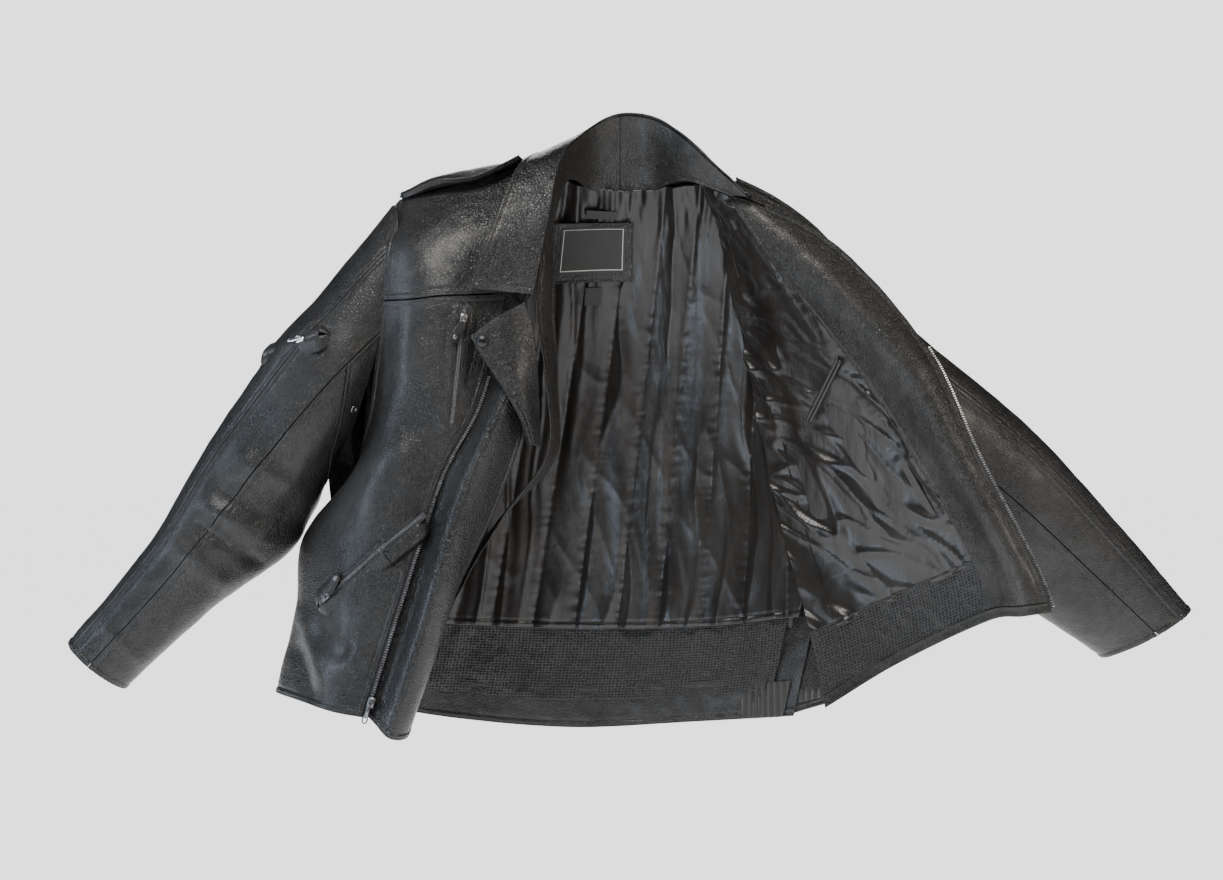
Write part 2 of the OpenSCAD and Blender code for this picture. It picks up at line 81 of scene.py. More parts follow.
def camera():
    cam = bpy.data.objects.new("camera", bpy.data.cameras.new("camera"))
    bpy.context.collection.objects.link(cam)
    cam.location = (-0.011, -CAMERA_AWAY, -0.326)
    cam.rotation_euler = (math.radians(90), 0, 0)
    cam.data.sensor_width = 36
    cam.data.lens = cam.data.sensor_width * CAMERA_AWAY / VIEW_WIDTH
    cam.data.clip_end = 60
    bpy.context.scene.camera = cam


def soft_box(name, at, toward, size, power, colour):
    """A rectangular lamp at one point, turned toward another."""
    data = bpy.data.lights.new(name, "AREA")
    data.shape, data.size, data.size_y = "RECTANGLE", size[0], size[1]
    data.energy, data.color = power, colour
    lamp = bpy.data.objects.new(name, data)
    bpy.context.collection.objects.link(lamp)
    lamp.location = at
    lamp.rotation_euler = (Vector(toward) - Vector(at)).to_track_quat("-Z", "Y").to_euler()


def studio():
    world = bpy.data.worlds.new("studio")
    bpy.context.scene.world = world
    world.use_nodes = True
    tree = world.node_tree
    fill = tree.nodes["Background"]
    fill.inputs["Color"].default_value = (0.93, 0.95, 1.0, 1)
    fill.inputs["Strength"].default_value = 0.035
    paper = tree.nodes.new("ShaderNodeBackground")
    paper.inputs["Color"].default_value = (*PAPER, 1)
    seen = tree.nodes.new("ShaderNodeLightPath")
    either = tree.nodes.new("ShaderNodeMixShader")
    tree.links.new(seen.outputs["Is Camera Ray"], either.inputs[0])
    tree.links.new(fill.outputs[0], either.inputs[1])
    tree.links.new(paper.outputs[0], either.inputs[2])
    tree.links.new(either.outputs[0], tree.nodes["World Output"].inputs["Surface"])
    soft_box("key_light", (-0.5, -1.3, 1.5), (0, 0, -0.3), (1.3, 0.7), 60, (1.0, 0.965, 0.92))
    soft_box("cool_low", (-1.3, -2.2, -1.0), (-0.15, 0, -0.45), (0.7, 0.9), 20, (0.56, 0.76, 1.0))
    soft_box("cool_side", (-2.2, -0.5, 0.3), (-0.3, 0, -0.4), (0.5, 1.6), 26, (0.66, 0.82, 1.0))
    soft_box("warm_side", (2.0, -1.1, 0.7), (0.3, 0, -0.3), (0.6, 1.3), 30, (1.0, 0.91, 0.8))
    soft_box("back_light", (0.0, 2.2, 1.2), (0, 0, -0.3), (1.6, 0.9), 24, (1.0, 0.985, 0.96))


# ---------------------------------------------------------------- finishes


class Value:
    """A shader socket that can be added, scaled and so on."""

    def __init__(self, finish, socket):
        self.finish, self.socket = finish, socket

    def math(self, operation, *values):
        return self.finish.node("Math", {"operation": operation}, dict(enumerate(values)))

    def __add__(self, other):
        return self.math("ADD", self, other)

    def __sub__(self, other):
        return self.math("SUBTRACT", self, other)

    def __rsub__(self, other):
        return self.math("SUBTRACT", other, self)

    def __mul__(self, other):
        return self.math("MULTIPLY", self, other)

    __radd__, __rmul__ = __add__, __mul__

    def spread(self, a, b):
        """0 at a, 1 at b, and straight between them."""
        return self.finish.node("MapRange", {}, {0: self, 1: a, 2: b})


class Finish:
    """One material, made node by node."""

    def __init__(self, name, slot, **fixed):
        self.material = bpy.data.materials.new(name)
        self.material.use_nodes = True
        self.tree = self.material.node_tree
        self.shader = self.tree.nodes["Principled BSDF"]
        self.slot = slot
        for key, value in fixed.items():
            self.shader.inputs[key.replace("_", " ")].default_value = value

    def node(self, kind, settings, sockets, output=0):
        made = self.tree.nodes.new("ShaderNode" + kind)
        for key, value in settings.items():
            setattr(made, key, value)
        for key, value in sockets.items():
            if isinstance(value, Value):
                self.tree.links.new(value.socket, made.inputs[key])
            else:
                made.inputs[key].default_value = value
        return Value(self, made.outputs[output])

    def place(self, kind="Object"):
        return self.node("TexCoord", {}, {}, kind)

    def stretched(self, scale, kind="Object"):
        return self.node("Mapping", {}, {0: self.place(kind), "Scale": scale})

    def noise(self, where, scale, detail=3.0, rough=0.5):
        return self.node("TexNoise", {},
                         {"Vector": where, "Scale": scale, "Detail": detail, "Roughness": rough})

    def cells(self, where, scale, feature="F1", chaos=1.0):
        return self.node("TexVoronoi", {"feature": feature},
                         {"Vector": where, "Scale": scale, "Randomness": chaos})

    def mix(self, amount, a, b):
        return self.node("Mix", {"data_type": "RGBA"}, {0: amount, 6: a, 7: b}, 2)

    def bump(self, height, depth, strength=1.0):
        return self.node("Bump", {}, {"Height": height, "Distance": depth, "Strength": strength})

    def use(self, **links):
        for key, value in links.items():
            self.tree.links.new(value.socket, self.shader.inputs[key.replace("_", " ")])
        return self


def rgba(colour, gain=1.0):
    return tuple(min(1, c * gain) for c in colour) + (1,)


def leather(name, dark, worn, gloss=0.4, grain=430):
    """Pebbled cowhide: rounded grain, fine creases, rubbed high spots."""
    f = Finish(name, "black_leather", Specular_IOR_Level=0.42, Coat_Roughness=0.3)
    at = f.place()
    pebble = f.cells(at, grain, "SMOOTH_F1")
    crack = f.cells(at, grain * 0.62, "DISTANCE_TO_EDGE").spread(0.0, 0.14)
    creases = f.noise(at, 80, 5, 0.62)
    broad = f.noise(at, 9, 3)
    fine = f.noise(at, 1300, 2)
    height = (1 - pebble) * 0.7 + crack * 0.5 + creases * 1.1 + fine * 0.12
    rubbed = (broad * 0.75 + creases * 0.45).spread(0.5, 0.78)
    f.use(Base_Color=f.mix(rubbed, rgba(dark), rgba(worn)),
          Roughness=(broad * 0.2 + creases * 0.14 + (1 - crack) * 0.12) + (gloss - 0.17),
          Coat_Weight=rubbed * 0.3 + 0.04,
          Normal=f.bump(height, 0.0011, 0.9))
    return f


def satin(name, dark, lit, gloss=0.3):
    """Smooth satin with a fine twill line and crushed creases, painted lighter on the crests of the crushes
    as a painted highlight.
    """
    f = Finish(name, "satin_lining", Specular_IOR_Level=0.5, Sheen_Weight=0.1, Sheen_Roughness=0.35,
               Anisotropic=0.35)
    crush = f.noise(f.stretched((1, 1, 0.3)), 26, 4, 0.5)
    crinkle = f.noise(f.stretched((1, 1, 0.3)), 120, 3, 0.5)
    twill = f.noise(f.stretched((1, 1, 0.08)), 2600, 1)
    # Colour runs from dark to lit with the crush height: a painted highlight on the raised creases.
    f.use(Base_Color=f.mix(crush.spread(0.35, 0.68), rgba(dark), rgba(lit)),
          Roughness=crush * 0.14 + (gloss - 0.07) + twill * 0.05,
          Normal=f.bump(crush + crinkle * 0.12 + twill * 0.02, 0.004, 0.8))
    return f


def net_cloth(name, colour):
    """Warp-knit net with small round holes, with painted shade darkening the thread toward each hole and a
    painted highlight on the bars between.
    """
    f = Finish(name, "net_lining", Roughness=0.5, Sheen_Weight=0.3, Specular_IOR_Level=0.4)
    where = f.stretched((1, 1.3, 1), kind="UV")
    spot = f.cells(where, 215, "F1", 0.25)
    tone = f.noise(f.place(), 25, 3)
    # Colour darkens toward each hole and brightens on the raised bars: painted shade at the sunken rims,
    # painted highlight on the bars.
    f.use(Base_Color=f.mix(spot.spread(0.3, 0.55), rgba(colour, 0.3), rgba(colour, 2.3)),
          Roughness=0.42 + tone * 0.2,
          Alpha=spot.spread(0.2, 0.3),
          Normal=f.bump(spot, 0.0012))
    return f


def tape_cloth(name, colour):
    """Ribbed woven tape, as beside a zip's chain, with a painted highlight that makes its raised ribs
    lighter.
    """
    f = Finish(name, "zip_tape", Roughness=0.75, Sheen_Weight=0.2)
    rib = f.noise(f.place(), 900, 2)
    # Colour follows the rib height: a painted highlight on the raised ribs, painted shade in the dips.
    f.use(Base_Color=f.mix(rib, rgba(colour), rgba(colour, 2.2)),
          Normal=f.bump(rib, 0.0003))
    return f


def rib_knit(name, colour):
    """Knitted elastic with upright threads, painted lighter on the raised threads as a painted highlight."""
    f = Finish(name, "rib_knit", Roughness=0.8, Sheen_Weight=0.3)
    thread = f.noise(f.stretched((1, 1, 0.3)), 800, 2)
    # Colour follows the thread height: a painted highlight on the raised threads, painted shade between them.
    f.use(Base_Color=f.mix(thread, rgba(colour), rgba(colour, 2.5)),
          Normal=f.bump(thread, 0.0004))
    return f


def hardware(name, slot, colour, rough):
    """Plated zinc with rubbed edges and small scratches."""
    f = Finish(name, slot, Metallic=1.0)
    at = f.place()
    wear = f.noise(at, 240, 4)
    scratch = f.noise(f.stretched((1, 6, 1)), 700, 2)
    f.use(Base_Color=f.mix(wear.spread(0.4, 0.75), rgba(colour), rgba(colour, 1.6)),
          Roughness=wear * 0.2 + (rough - 0.1),
          Normal=f.bump(scratch, 0.00006))
    return f


def woven(name, colour):
    """Close plain weave, for labels and thread, painted lighter on the raised weave as a painted highlight.
    """
    f = Finish(name, "woven_tag", Roughness=0.7, Sheen_Weight=0.2)
    weave = f.noise(f.place(), 1400, 1)
    # Colour follows the weave height: a painted highlight on the raised threads, painted shade between them.
    f.use(Base_Color=f.mix(weave, rgba(colour), rgba(colour, 1.5)),
          Normal=f.bump(weave, 0.0002))
    return f


SHELL = leather("grained_leather", (0.0032, 0.0031, 0.0032), (0.0105, 0.0098, 0.009))
FACING = leather("facing_leather", (0.0045, 0.0041, 0.0036), (0.013, 0.0115, 0.0098), 0.42)
COLLAR = leather("collar_leather", (0.0032, 0.0033, 0.0037), (0.0095, 0.0095, 0.0098), 0.34)
# The satin's second colour is the painted highlight on its raised creases.
SATIN = satin("brown_black_satin", (0.0072, 0.0062, 0.0055), (0.0185, 0.0165, 0.0145))
NET = net_cloth("black_net", (0.0035, 0.0035, 0.0036))
TAPE = tape_cloth("zip_tape_cloth", (0.01, 0.01, 0.011))
RIB = rib_knit("rib_elastic", (0.012, 0.012, 0.012))
STEEL = hardware("blackened_metal", "dark_metal", (0.13, 0.13, 0.135), 0.36)
CHAIN = hardware("front_chain_metal", "dark_metal", (0.3, 0.3, 0.305), 0.3)
NICKEL = hardware("nickel", "bright_metal", (0.62, 0.63, 0.65), 0.2)
SNAP = hardware("black_snap_metal", "dark_metal", (0.035, 0.035, 0.037), 0.34)
THREAD = woven("thread", (0.02, 0.02, 0.021))
TAG = woven("tag_cloth", (0.011, 0.0105, 0.0105))
TAG_EDGE = woven("tag_border", (0.3, 0.29, 0.27))

# ---------------------------------------------------------------- the cut: a net over each panel, in mm


def net(rows):
    """Rows of points X, Y, Z in mm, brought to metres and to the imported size."""
    return np.array(rows, float) * MM * SIZE


BACK = net([
    [(-285, 10, -20), (-155, 20, 30), (0, 60, 10), (150, 35, 10), (300, 40, -95)],
    [(-325, 45, -60), (-160, 80, -60), (-5, 90, -55), (150, 80, -60), (308, 72, -140)],
    [(-360, 65, -165), (-185, 100, -200), (-10, 115, -200), (170, 100, -200), (308, 84, -240)],
    [(-370, 10, -365), (-200, 110, -370), (-25, 120, -375), (160, 105, -370), (305, 42, -365)],
    [(-355, 60, -535), (-200, 108, -545), (-45, 120, -550), (135, 95, -545), (265, 35, -525)],
    [(-370, 65, -665), (-225, 98, -695), (-65, 110, -710), (95, 90, -700), (230, 40, -685)]])
RIGHT = net([
    [(-285, 10, -20), (-230, -10, -5), (-175, -15, 8), (-130, -5, 25), (-92, 10, 35)],
    [(-295, -40, -93), (-250, -66, -90), (-210, -72, -85), (-167, -66, -80), (-125, -56, -75)],
    [(-300, -54, -205), (-258, -88, -207), (-222, -96, -204), (-190, -91, -202), (-155, -82, -200)],
    [(-314, -40, -295), (-284, -88, -292), (-245, -108, -290), (-210, -110, -286), (-177, -101, -283)],
    [(-338, 20, -365), (-330, -66, -365), (-296, -110, -364), (-252, -122, -362), (-217, -118, -362)],
    [(-360, 58, -462), (-400, -10, -447), (-345, -95, -443), (-292, -128, -444), (-243, -132, -443)],
    [(-355, 62, -548), (-410, -15, -536), (-358, -102, -531), (-312, -140, -531), (-270, -148, -532)],
    [(-370, 65, -665), (-432, -25, -645), (-387, -115, -645), (-344, -160, -651), (-308, -170, -656)]])
FLAP = net([
    [(-143, -98, -245), (-131, -112, -247), (-118, -104, -250), (-102, -85, -258)],
    [(-210, -130, -399), (-191, -150, -399), (-172, -134, -401), (-150, -95, -398)],
    [(-251, -150, -542), (-231, -172, -541), (-212, -150, -544), (-215, -110, -538)],
    [(-291, -172, -664), (-273, -190, -678), (-256, -170, -680), (-255, -130, -664)]])
INSIDE = net([
    [(-100, -50, -30), (-92, -40, -30), (-84, -24, -30)],
    [(-102, -66, -100), (-92, -54, -98), (-83, -36, -96)],
    [(-106, -80, -168), (-95, -66, -166), (-84, -44, -164)],
    [(-94, -84, -250), (-86, -68, -250), (-80, -44, -250)],
    [(-92, -74, -340), (-88, -60, -345), (-84, -38, -350)],
    [(-150, -80, -425), (-152, -62, -428), (-158, -38, -430)],
    [(-218, -95, -545), (-222, -75, -545), (-235, -45, -545)],
    [(-258, -115, -655), (-262, -92, -655), (-270, -60, -655)]])
STRAP = net([
    [(-279, 2, -18), (-232, -14, -5), (-177, -19, 7), (-131, -9, 24), (-94, 6, 34)],
    [(-281, 9, -12), (-240, 4, 6), (-178, 5, 21), (-128, 13, 31), (-93, 23, 38)],
    [(-283, 18, -17), (-236, 23, 2), (-170, 29, 24), (-118, 38, 30), (-84, 50, 24)]])
LAPEL = net([
    [(-183, -118, -200), (-153, -116, -177), (-118, -100, -157)],
    [(-162, -122, -235), (-137, -118, -216), (-106, -100, -197)],
    [(-140, -124, -269), (-122, -118, -259), (-102, -98, -246)],
    [(-122, -122, -302), (-111, -112, -296), (-100, -94, -292)],
    [(-113, -110, -331), (-106, -100, -332), (-99, -88, -336)]])
LEFT = net([
    [(104, 24, 3), (120, 10, -4), (137, 2, -12), (156, -5, -18), (175, -10, -26)],
    [(133, 58, -78), (162, 10, -79), (192, -25, -100), (233, -45, -95), (275, -35, -83)],
    [(167, 70, -248), (237, 5, -249), (303, -50, -246), (344, -95, -230), (379, -75, -212)],
    [(203, 58, -430), (294, -5, -418), (380, -70, -373), (410, -114, -360), (435, -106, -344)],
    [(241, 6, -593), (341, -15, -540), (440, -86, -486), (471, -130, -477), (498, -128, -474)],
    [(254, -6, -673), (352, -20, -610), (449, -90, -550), (488, -134, -539), (521, -136, -534)]])
LEFT_YOKE = net([
    [(150, 33, 16), (200, 29, -10), (250, 28, -47), (295, 32, -94)],
    [(160, 42, -50), (205, 28, -75), (250, 14, -105), (290, 8, -148)],
    [(190, 58, -180), (222, 44, -192), (255, 24, -208), (286, 2, -255)]])
ROLL_LINE = [(-111, -92, -150), (-91, -72, -47), (-76, -36, 27), (-41, 12, 73), (0, 32, 94),
             (47, 26, 87), (87, -4, 55), (129, -18, 14), (168, -24, -22)]
NECK_SEAM = [(-119, -74, -154), (-89, -52, -65), (-69, -8, 6), (-39, 42, 5), (0, 55, 4),
             (42, 48, 6), (78, 14, 10), (104, -4, 2), (150, -14, -16)]
LEAF_EDGE = [(-190, -100, -142), (-161, -86, -69), (-131, -45, 13), (-100, 30, 43), (-50, 92, 36),
             (0, 104, 28), (56, 98, 34), (108, 62, 36), (176, 8, -24)]
STAND = net([ROLL_LINE, NECK_SEAM])
LEAF = net([ROLL_LINE, LEAF_EDGE])

# Sleeve stations: upper edge X Z, lower edge X Z, depth Y, front bulge X Y
ARM_SIZE = SIZE[[0, 2, 0, 2, 1, 0, 1]]
RIGHT_ARM = np.array([
    (-288, -24, -371, -362, 8, 30, -62), (-358, -110, -382, -393, 0, 15, -72),
    (-485, -275, -423, -466, -10, 0, -64), (-596, -459, -527, -545, -22, 0, -50),
    (-694, -581, -627, -637, -32, 0, -38)], float) * MM * ARM_SIZE
LEFT_ARM = np.array([
    (299, -95, 312, -365, 38, -10, -45), (372, -176, 346, -411, 50, 0, -52),
    (529, -300, 457, -487, 80, 0, -58), (670, -444, 570, -563, 112, 0, -48),
    (770, -555, 654, -619, 140, 4, -38)], float) * MM * ARM_SIZE


def spline(points, t):
    """Smooth curve through the points, for an array t from 0 to 1."""
    t = np.asarray(t, float)
    n = len(points) - 1
    ext = np.concatenate([[2 * points[0] - points[1]], points, [2 * points[-1] - points[-2]]])
    k = np.clip((t * n).astype(int), 0, n - 1)
    f = (t * n - k).reshape((-1,) + (1,) * (points.ndim - 1))
    a, b, c, d = ext[k], ext[k + 1], ext[k + 2], ext[k + 3]
    return 0.5 * (2 * b + (c - a) * f + (2 * a - 5 * b + 4 * c - d) * f ** 2
                  + (3 * b - a - 3 * c + d) * f ** 3)


def over(cut):
    """The surface of a net: takes u and v marks and gives rows of points."""
    def surface(u, v):
        rows = np.swapaxes(spline(np.swapaxes(cut, 0, 1), u), 0, 1)
        return spline(rows, v)
    return surface


def round_arm(arm):
    """A sleeve's surface: u is the angle from the upper edge over the front, in degrees."""
    def surface(u, v):
        s = spline(arm, v)
        flat = np.zeros(len(s))
        upper = np.stack([s[:, 0], s[:, 4], s[:, 1]], 1)
        lower = np.stack([s[:, 2], s[:, 4], s[:, 3]], 1)
        bulge = np.stack([s[:, 5], s[:, 6], flat], 1)
        middle, reach = (upper + lower) / 2, (upper - lower) / 2
        a = np.radians(np.asarray(u, float))[None, :, None]
        return middle[:, None] + reach[:, None] * np.cos(a) + bulge[:, None] * np.sin(a)
    return surface


# ---------------------------------------------------------------- relief: folds, creases and puckers


def lattice(i, seed):
    """A steady direction for each corner of the noise's grid."""
    h = np.sin(i @ np.array([127.1, 311.7, 74.7]) + seed * 17.3) * 43758.5453
    k = np.sin(i @ np.array([269.5, 183.3, 246.1]) + seed * 9.1) * 28001.83
    turn, lift = 2 * np.pi * (h - np.floor(h)), 2 * (k - np.floor(k)) - 1
    flat = np.sqrt(1 - lift ** 2)
    return np.stack([np.cos(turn) * flat, np.sin(turn) * flat, lift], -1)


def rumple(points, size, seed=0):
    """Smooth noise from about -1 to 1; size is the wave length, one number or one for each axis."""
    p = points / np.asarray(size, float) + seed * 0.37
    i = np.floor(p)
    f = p - i
    g = f * f * f * (f * (f * 6 - 15) + 10)
    total = 0.0
    for dx in (0, 1):
        for dy in (0, 1):
            for dz in (0, 1):
                corner = np.array([dx, dy, dz])
                w = np.prod(np.where(corner, g, 1 - g), -1)
                total = total + w * ((f - corner) * lattice(i + corner, seed)).sum(-1)
    return total * 1.7


def turned(points, degrees):
    """The points turned in the XZ plane, so that noise can be stretched along a slant."""
    c, s = math.cos(math.radians(degrees)), math.sin(math.radians(degrees))
    x, z = points[..., 0], points[..., 2]
    return np.stack([x * c + z * s, points[..., 1], -x * s + z * c], -1)


def folds(points, lines):
    """Folds as seen from the front: x and z of both ends, half width and height, all in mm."""
    x, z = points[..., 0] / MM, points[..., 2] / MM
    total = np.zeros(x.shape)
    for x0, z0, x1, z1, width, height in lines:
        dx, dz = x1 - x0, z1 - z0
        along = ((x - x0) * dx + (z - z0) * dz) / (dx * dx + dz * dz)
        inside = np.clip(along, 0, 1)
        away = np.hypot(x - x0 - inside * dx, z - z0 - inside * dz)
        fade = np.clip(np.minimum(along + 0.25, 1.25 - along) / 0.35, 0, 1)
        total += height * np.exp(-((away / width) ** 2)) * fade
    return total * MM


SHELL_FOLDS = [
    (-362, -526, -252, -432, 26, 2.6), (-205, -165, -206, -310, 24, 1.4), (-215, -141, -290, -250, 30, 3.5),
    (-285, -235, -225, -372, 24, -3), (-262, -215, -205, -330, 26, 2.5),
    (-262, -330, -300, -440, 30, 3.5), (-372, -560, -330, -585, 14, -4), (-392, -545, -352, -618, 14, 4),
    (-400, -585, -372, -640, 11, -4), (-345, -600, -300, -585, 18, 3)]
ARM_FOLDS = [
    (-448, -219, -380, -189, 28, 4.2),
    (-330, -215, -420, -330, 22, 5), (-350, -330, -420, -420, 16, -4.5), (-400, -300, -480, -380, 20, 4),
    (-470, -350, -390, -400, 15, 5), (-500, -385, -410, -430, 13, -5), (-510, -410, -440, -450, 13, 5),
    (-520, -430, -455, -480, 9, -6), (-560, -450, -500, -500, 14, 5), (-640, -560, -600, -600, 9, 3)]


def shell_relief(p):
    """Heavy leather: the drawn folds over broad swells and small creases."""
    return (folds(p, SHELL_FOLDS + ARM_FOLDS) + 0.0019 * rumple(turned(p, 35), (0.07, 0.09, 0.16), 3)
            + 0.0006 * rumple(p, 0.034, 5) + 0.0002 * rumple(p, 0.012, 8))


def soft_relief(p):
    """Leather that hangs nearly flat."""
    return 0.0016 * rumple(p, (0.05, 0.05, 0.09), 11) + 0.0006 * rumple(p, 0.018, 12)


def crumpled(height, size, seed):
    """A relief of even crumples."""
    return lambda p: height * rumple(p, size, seed)


def ribbed(height, width):
    """A relief of upright ribs."""
    return lambda p: height * np.sin(p[..., 0] / width)


# ---------------------------------------------------------------- panels

# Thickness of the leather and of the lining cloth, in mm
HIDE = 2.2
CLOTH = 1.2
# How far in from an edge the rows of points lie where it rolls over
RIM = np.array([0, 0.25, 0.7, 1.3, 2.1, 3.1, 4.3, 5.6, 7.0, 8.4, 10]) * MM


def marks(length, step):
    """Places along an edge, close together near both ends so that the edge can roll over."""
    rim = RIM[RIM < length * 0.3]
    count = max(2, int((length - 2 * rim[-1]) / step))
    inner = np.linspace(rim[-1], length - rim[-1], count + 1)
    return np.concatenate([rim[:-1], inner, (length - rim[:-1])[::-1]]) / length


def gaps(points, axis):
    """How far along its row or column each point lies."""
    step = np.linalg.norm(np.diff(points, axis=axis), axis=2)
    run = np.cumsum(step, axis=axis)
    zero = np.zeros_like(np.take(run, [0], axis))
    return np.concatenate([zero, run], axis)


def outward(points, side):
    """The way that each point of a net faces: side is 1 for the front of the net, -1 for its back."""
    n = np.cross(np.gradient(points, axis=0), np.gradient(points, axis=1))
    return side * n / np.maximum(np.linalg.norm(n, axis=2, keepdims=True), 1e-12)


def build(name, verts, faces, finish, uv=None, smooth=True, tidy=False):
    """A mesh object in its finish."""
    mesh = bpy.data.meshes.new(name)
    corners = np.asarray(verts, float).reshape(-1, 3).tolist()
    mesh.from_pydata(corners, [], [list(map(int, face)) for face in faces])
    mesh.validate()
    mesh.polygons.foreach_set("use_smooth", [smooth] * len(mesh.polygons))
    if uv is not None:
        layer = mesh.uv_layers.new(name="cut")
        at = np.zeros(len(mesh.loops), np.int32)
        mesh.loops.foreach_get("vertex_index", at)
        layer.data.foreach_set("uv", uv[at].astype(np.float32).ravel())
    if tidy:
        work = bmesh.new()
        work.from_mesh(mesh)
        bmesh.ops.recalc_face_normals(work, faces=work.faces)
        work.to_mesh(mesh)
        work.free()
    mesh.materials.append(finish.material)
    obj = bpy.data.objects.new(name, mesh)
    bpy.context.collection.objects.link(obj)
    return obj


def grid_faces(h, w, flip, start=0):
    q = (np.arange(h - 1)[:, None] * w + np.arange(w - 1)[None]).ravel() + start
    quads = np.stack([q, q + 1, q + w + 1, q + w], 1)
    return quads[:, ::-1] if flip else quads


def slab_faces(h, w, flip):
    """Faces of a slab: a grid of h by w points, the same grid again for its back, and its four sides."""
    rim = np.concatenate([np.arange(w), np.arange(1, h) * w + w - 1,
                          (h - 1) * w + np.arange(w - 2, -1, -1), np.arange(h - 2, 0, -1) * w])
    following, back = np.roll(rim, -1), h * w
    sides = np.stack([rim, following, following + back, rim + back], 1)
    return np.concatenate([grid_faces(h, w, flip), grid_faces(h, w, not flip, back),
                           sides if flip else sides[:, ::-1]])


def unit(rows):
    """Rows of vectors, each scaled to length 1."""
    return rows / np.linalg.norm(rows, axis=-1, keepdims=True)


class Panel:
    """A cut piece: its outer skin as rows of points with normals, for stitches and trims.

    The region is u and v marks from and to; lift, thick, step and the seams' ridge and width are in mm.
    """

    def __init__(self, name, surface, region, finish, side=1, lift=0.0, thick=HIDE, step=4.0,
                 relief=None, seams="", ridge=0.9, seam_w=7.0, nodes=(), make=True):
        u0, u1, v0, v1 = region
        rough = surface(np.linspace(u0, u1, 25), np.linspace(v0, v1, 25))
        wide, tall = gaps(rough, 1)[:, -1].mean(), gaps(rough, 0)[-1].mean()
        u = u0 + (u1 - u0) * marks(wide, step * MM)
        v = v0 + (v1 - v0) * marks(tall, step * MM)
        base = surface(u, v)
        n = outward(base, side)
        across, down = gaps(base, 1), gaps(base, 0)
        edge = {"l": across, "r": across[:, -1:] - across, "t": down, "b": down[-1:] - down}
        nearest = np.minimum.reduce(list(edge.values()))
        thick = thick * MM
        raised = np.full(base.shape[:2], lift * MM)
        if relief:
            raised = raised + relief(base)
        for key in seams:
            d = edge[key] / MM
            doubled = np.clip((seam_w - d) / 1.6, 0, 1)
            beside = 0.7 * np.exp(-((d - seam_w - 1.2) / 1.3) ** 2)
            pulled_in = 0.5 * np.exp(-((d - 2.2) / 1.0) ** 2)
            raised = raised + MM * ridge * (doubled - beside - pulled_in)
        roll = thick / 2
        drop = roll * (1 - np.sqrt(1 - (1 - np.clip(nearest / roll, 0, 1)) ** 2))
        self.over = base + n * (raised - drop)[..., None]
        self.normal, self.edge, self.tall = n, edge, tall
        if not make:
            return
        under = base + n * (raised - thick + drop)[..., None]
        uv = np.stack([across, -down], -1).reshape(-1, 2)
        self.obj = build(name, np.concatenate([self.over.reshape(-1, 3), under.reshape(-1, 3)]),
                         slab_faces(*base.shape[:2], side > 0), finish, np.concatenate([uv, uv]))
        if nodes:
            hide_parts(*nodes)

    def line(self, key, inset):
        """Points and normals along one edge (l, r, t or b), inset by so many mm."""
        d = self.edge[key]
        inset = inset * MM
        if key in "lr":
            pick = [self._at(d[i], self.over[i], self.normal[i], inset) for i in range(d.shape[0])]
        else:
            pick = [self._at(d[:, j], self.over[:, j], self.normal[:, j], inset) for j in range(d.shape[1])]
        return np.array([p[0] for p in pick]), np.array([p[1] for p in pick])

    @staticmethod
    def _at(d, points, normals, inset):
        order = np.argsort(d)
        p = np.array([np.interp(inset, d[order], points[order, k]) for k in range(3)])
        n = np.array([np.interp(inset, d[order], normals[order, k]) for k in range(3)])
        return p, n / np.linalg.norm(n)


def even(points, normals, pitch, trim):
    """The line again with points one pitch apart, its normals, and the direction along it."""
    run = np.concatenate([[0], np.cumsum(np.linalg.norm(np.diff(points, axis=0), axis=1))])
    at = np.arange(trim, run[-1] - trim, pitch)
    p = np.stack([np.interp(at, run, points[:, k]) for k in range(3)], 1)
    n = np.stack([np.interp(at, run, normals[:, k]) for k in range(3)], 1)
    return p, unit(n), unit(np.gradient(p, axis=0))


class Sewing:
    """All the stitches that move with one body, as one mesh of small lying threads."""

    def __init__(self):
        self.verts, self.faces = [], []

    def along(self, points, normals, pitch=4.0, trim=4.0, length=2.7, thick=0.45):
        p, n, t = even(points, normals, pitch * MM, trim * MM)
        s = np.cross(n, t)
        base = sum(len(v) for v in self.verts)
        half, r = length / 2 * MM, thick * MM
        stitch = np.stack([p - t * half - n * r * 0.6, p + s * r, p + n * r * 1.1, p - s * r,
                           p + t * half - n * r * 0.6], 1)
        self.verts.append(stitch.reshape(-1, 3))
        i = np.arange(len(p)) * 5 + base
        for a, b, c in ((0, 1, 2), (0, 2, 3), (4, 2, 1), (4, 3, 2), (0, 3, 1), (4, 1, 3)):
            self.faces.append(np.stack([i + a, i + b, i + c], 1))

    def make(self, name):
        return build(name, np.concatenate(self.verts), np.concatenate(self.faces), THREAD)


def stitched(name, *rows, pitch=4.0):
    """Rows of stitches as one mesh; each row is a panel, one of its edges and its lines' insets in mm."""
    sewing = Sewing()
    for panel, key, *insets in rows:
        for inset in insets:
            sewing.along(*panel.line(key, inset), pitch)
    return sewing.make(name)


# ---------------------------------------------------------------- how pieces move


def bends(body, *pieces):
    """Pieces whose transforms are baked into their meshes, so that they stay where they stand."""
    for piece in pieces:
        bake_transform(piece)


def rides(body, *pieces):
    """Pieces that move stiffly with one body."""
    for piece in pieces:
        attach(piece, body)


# ---------------------------------------------------------------- leather shell


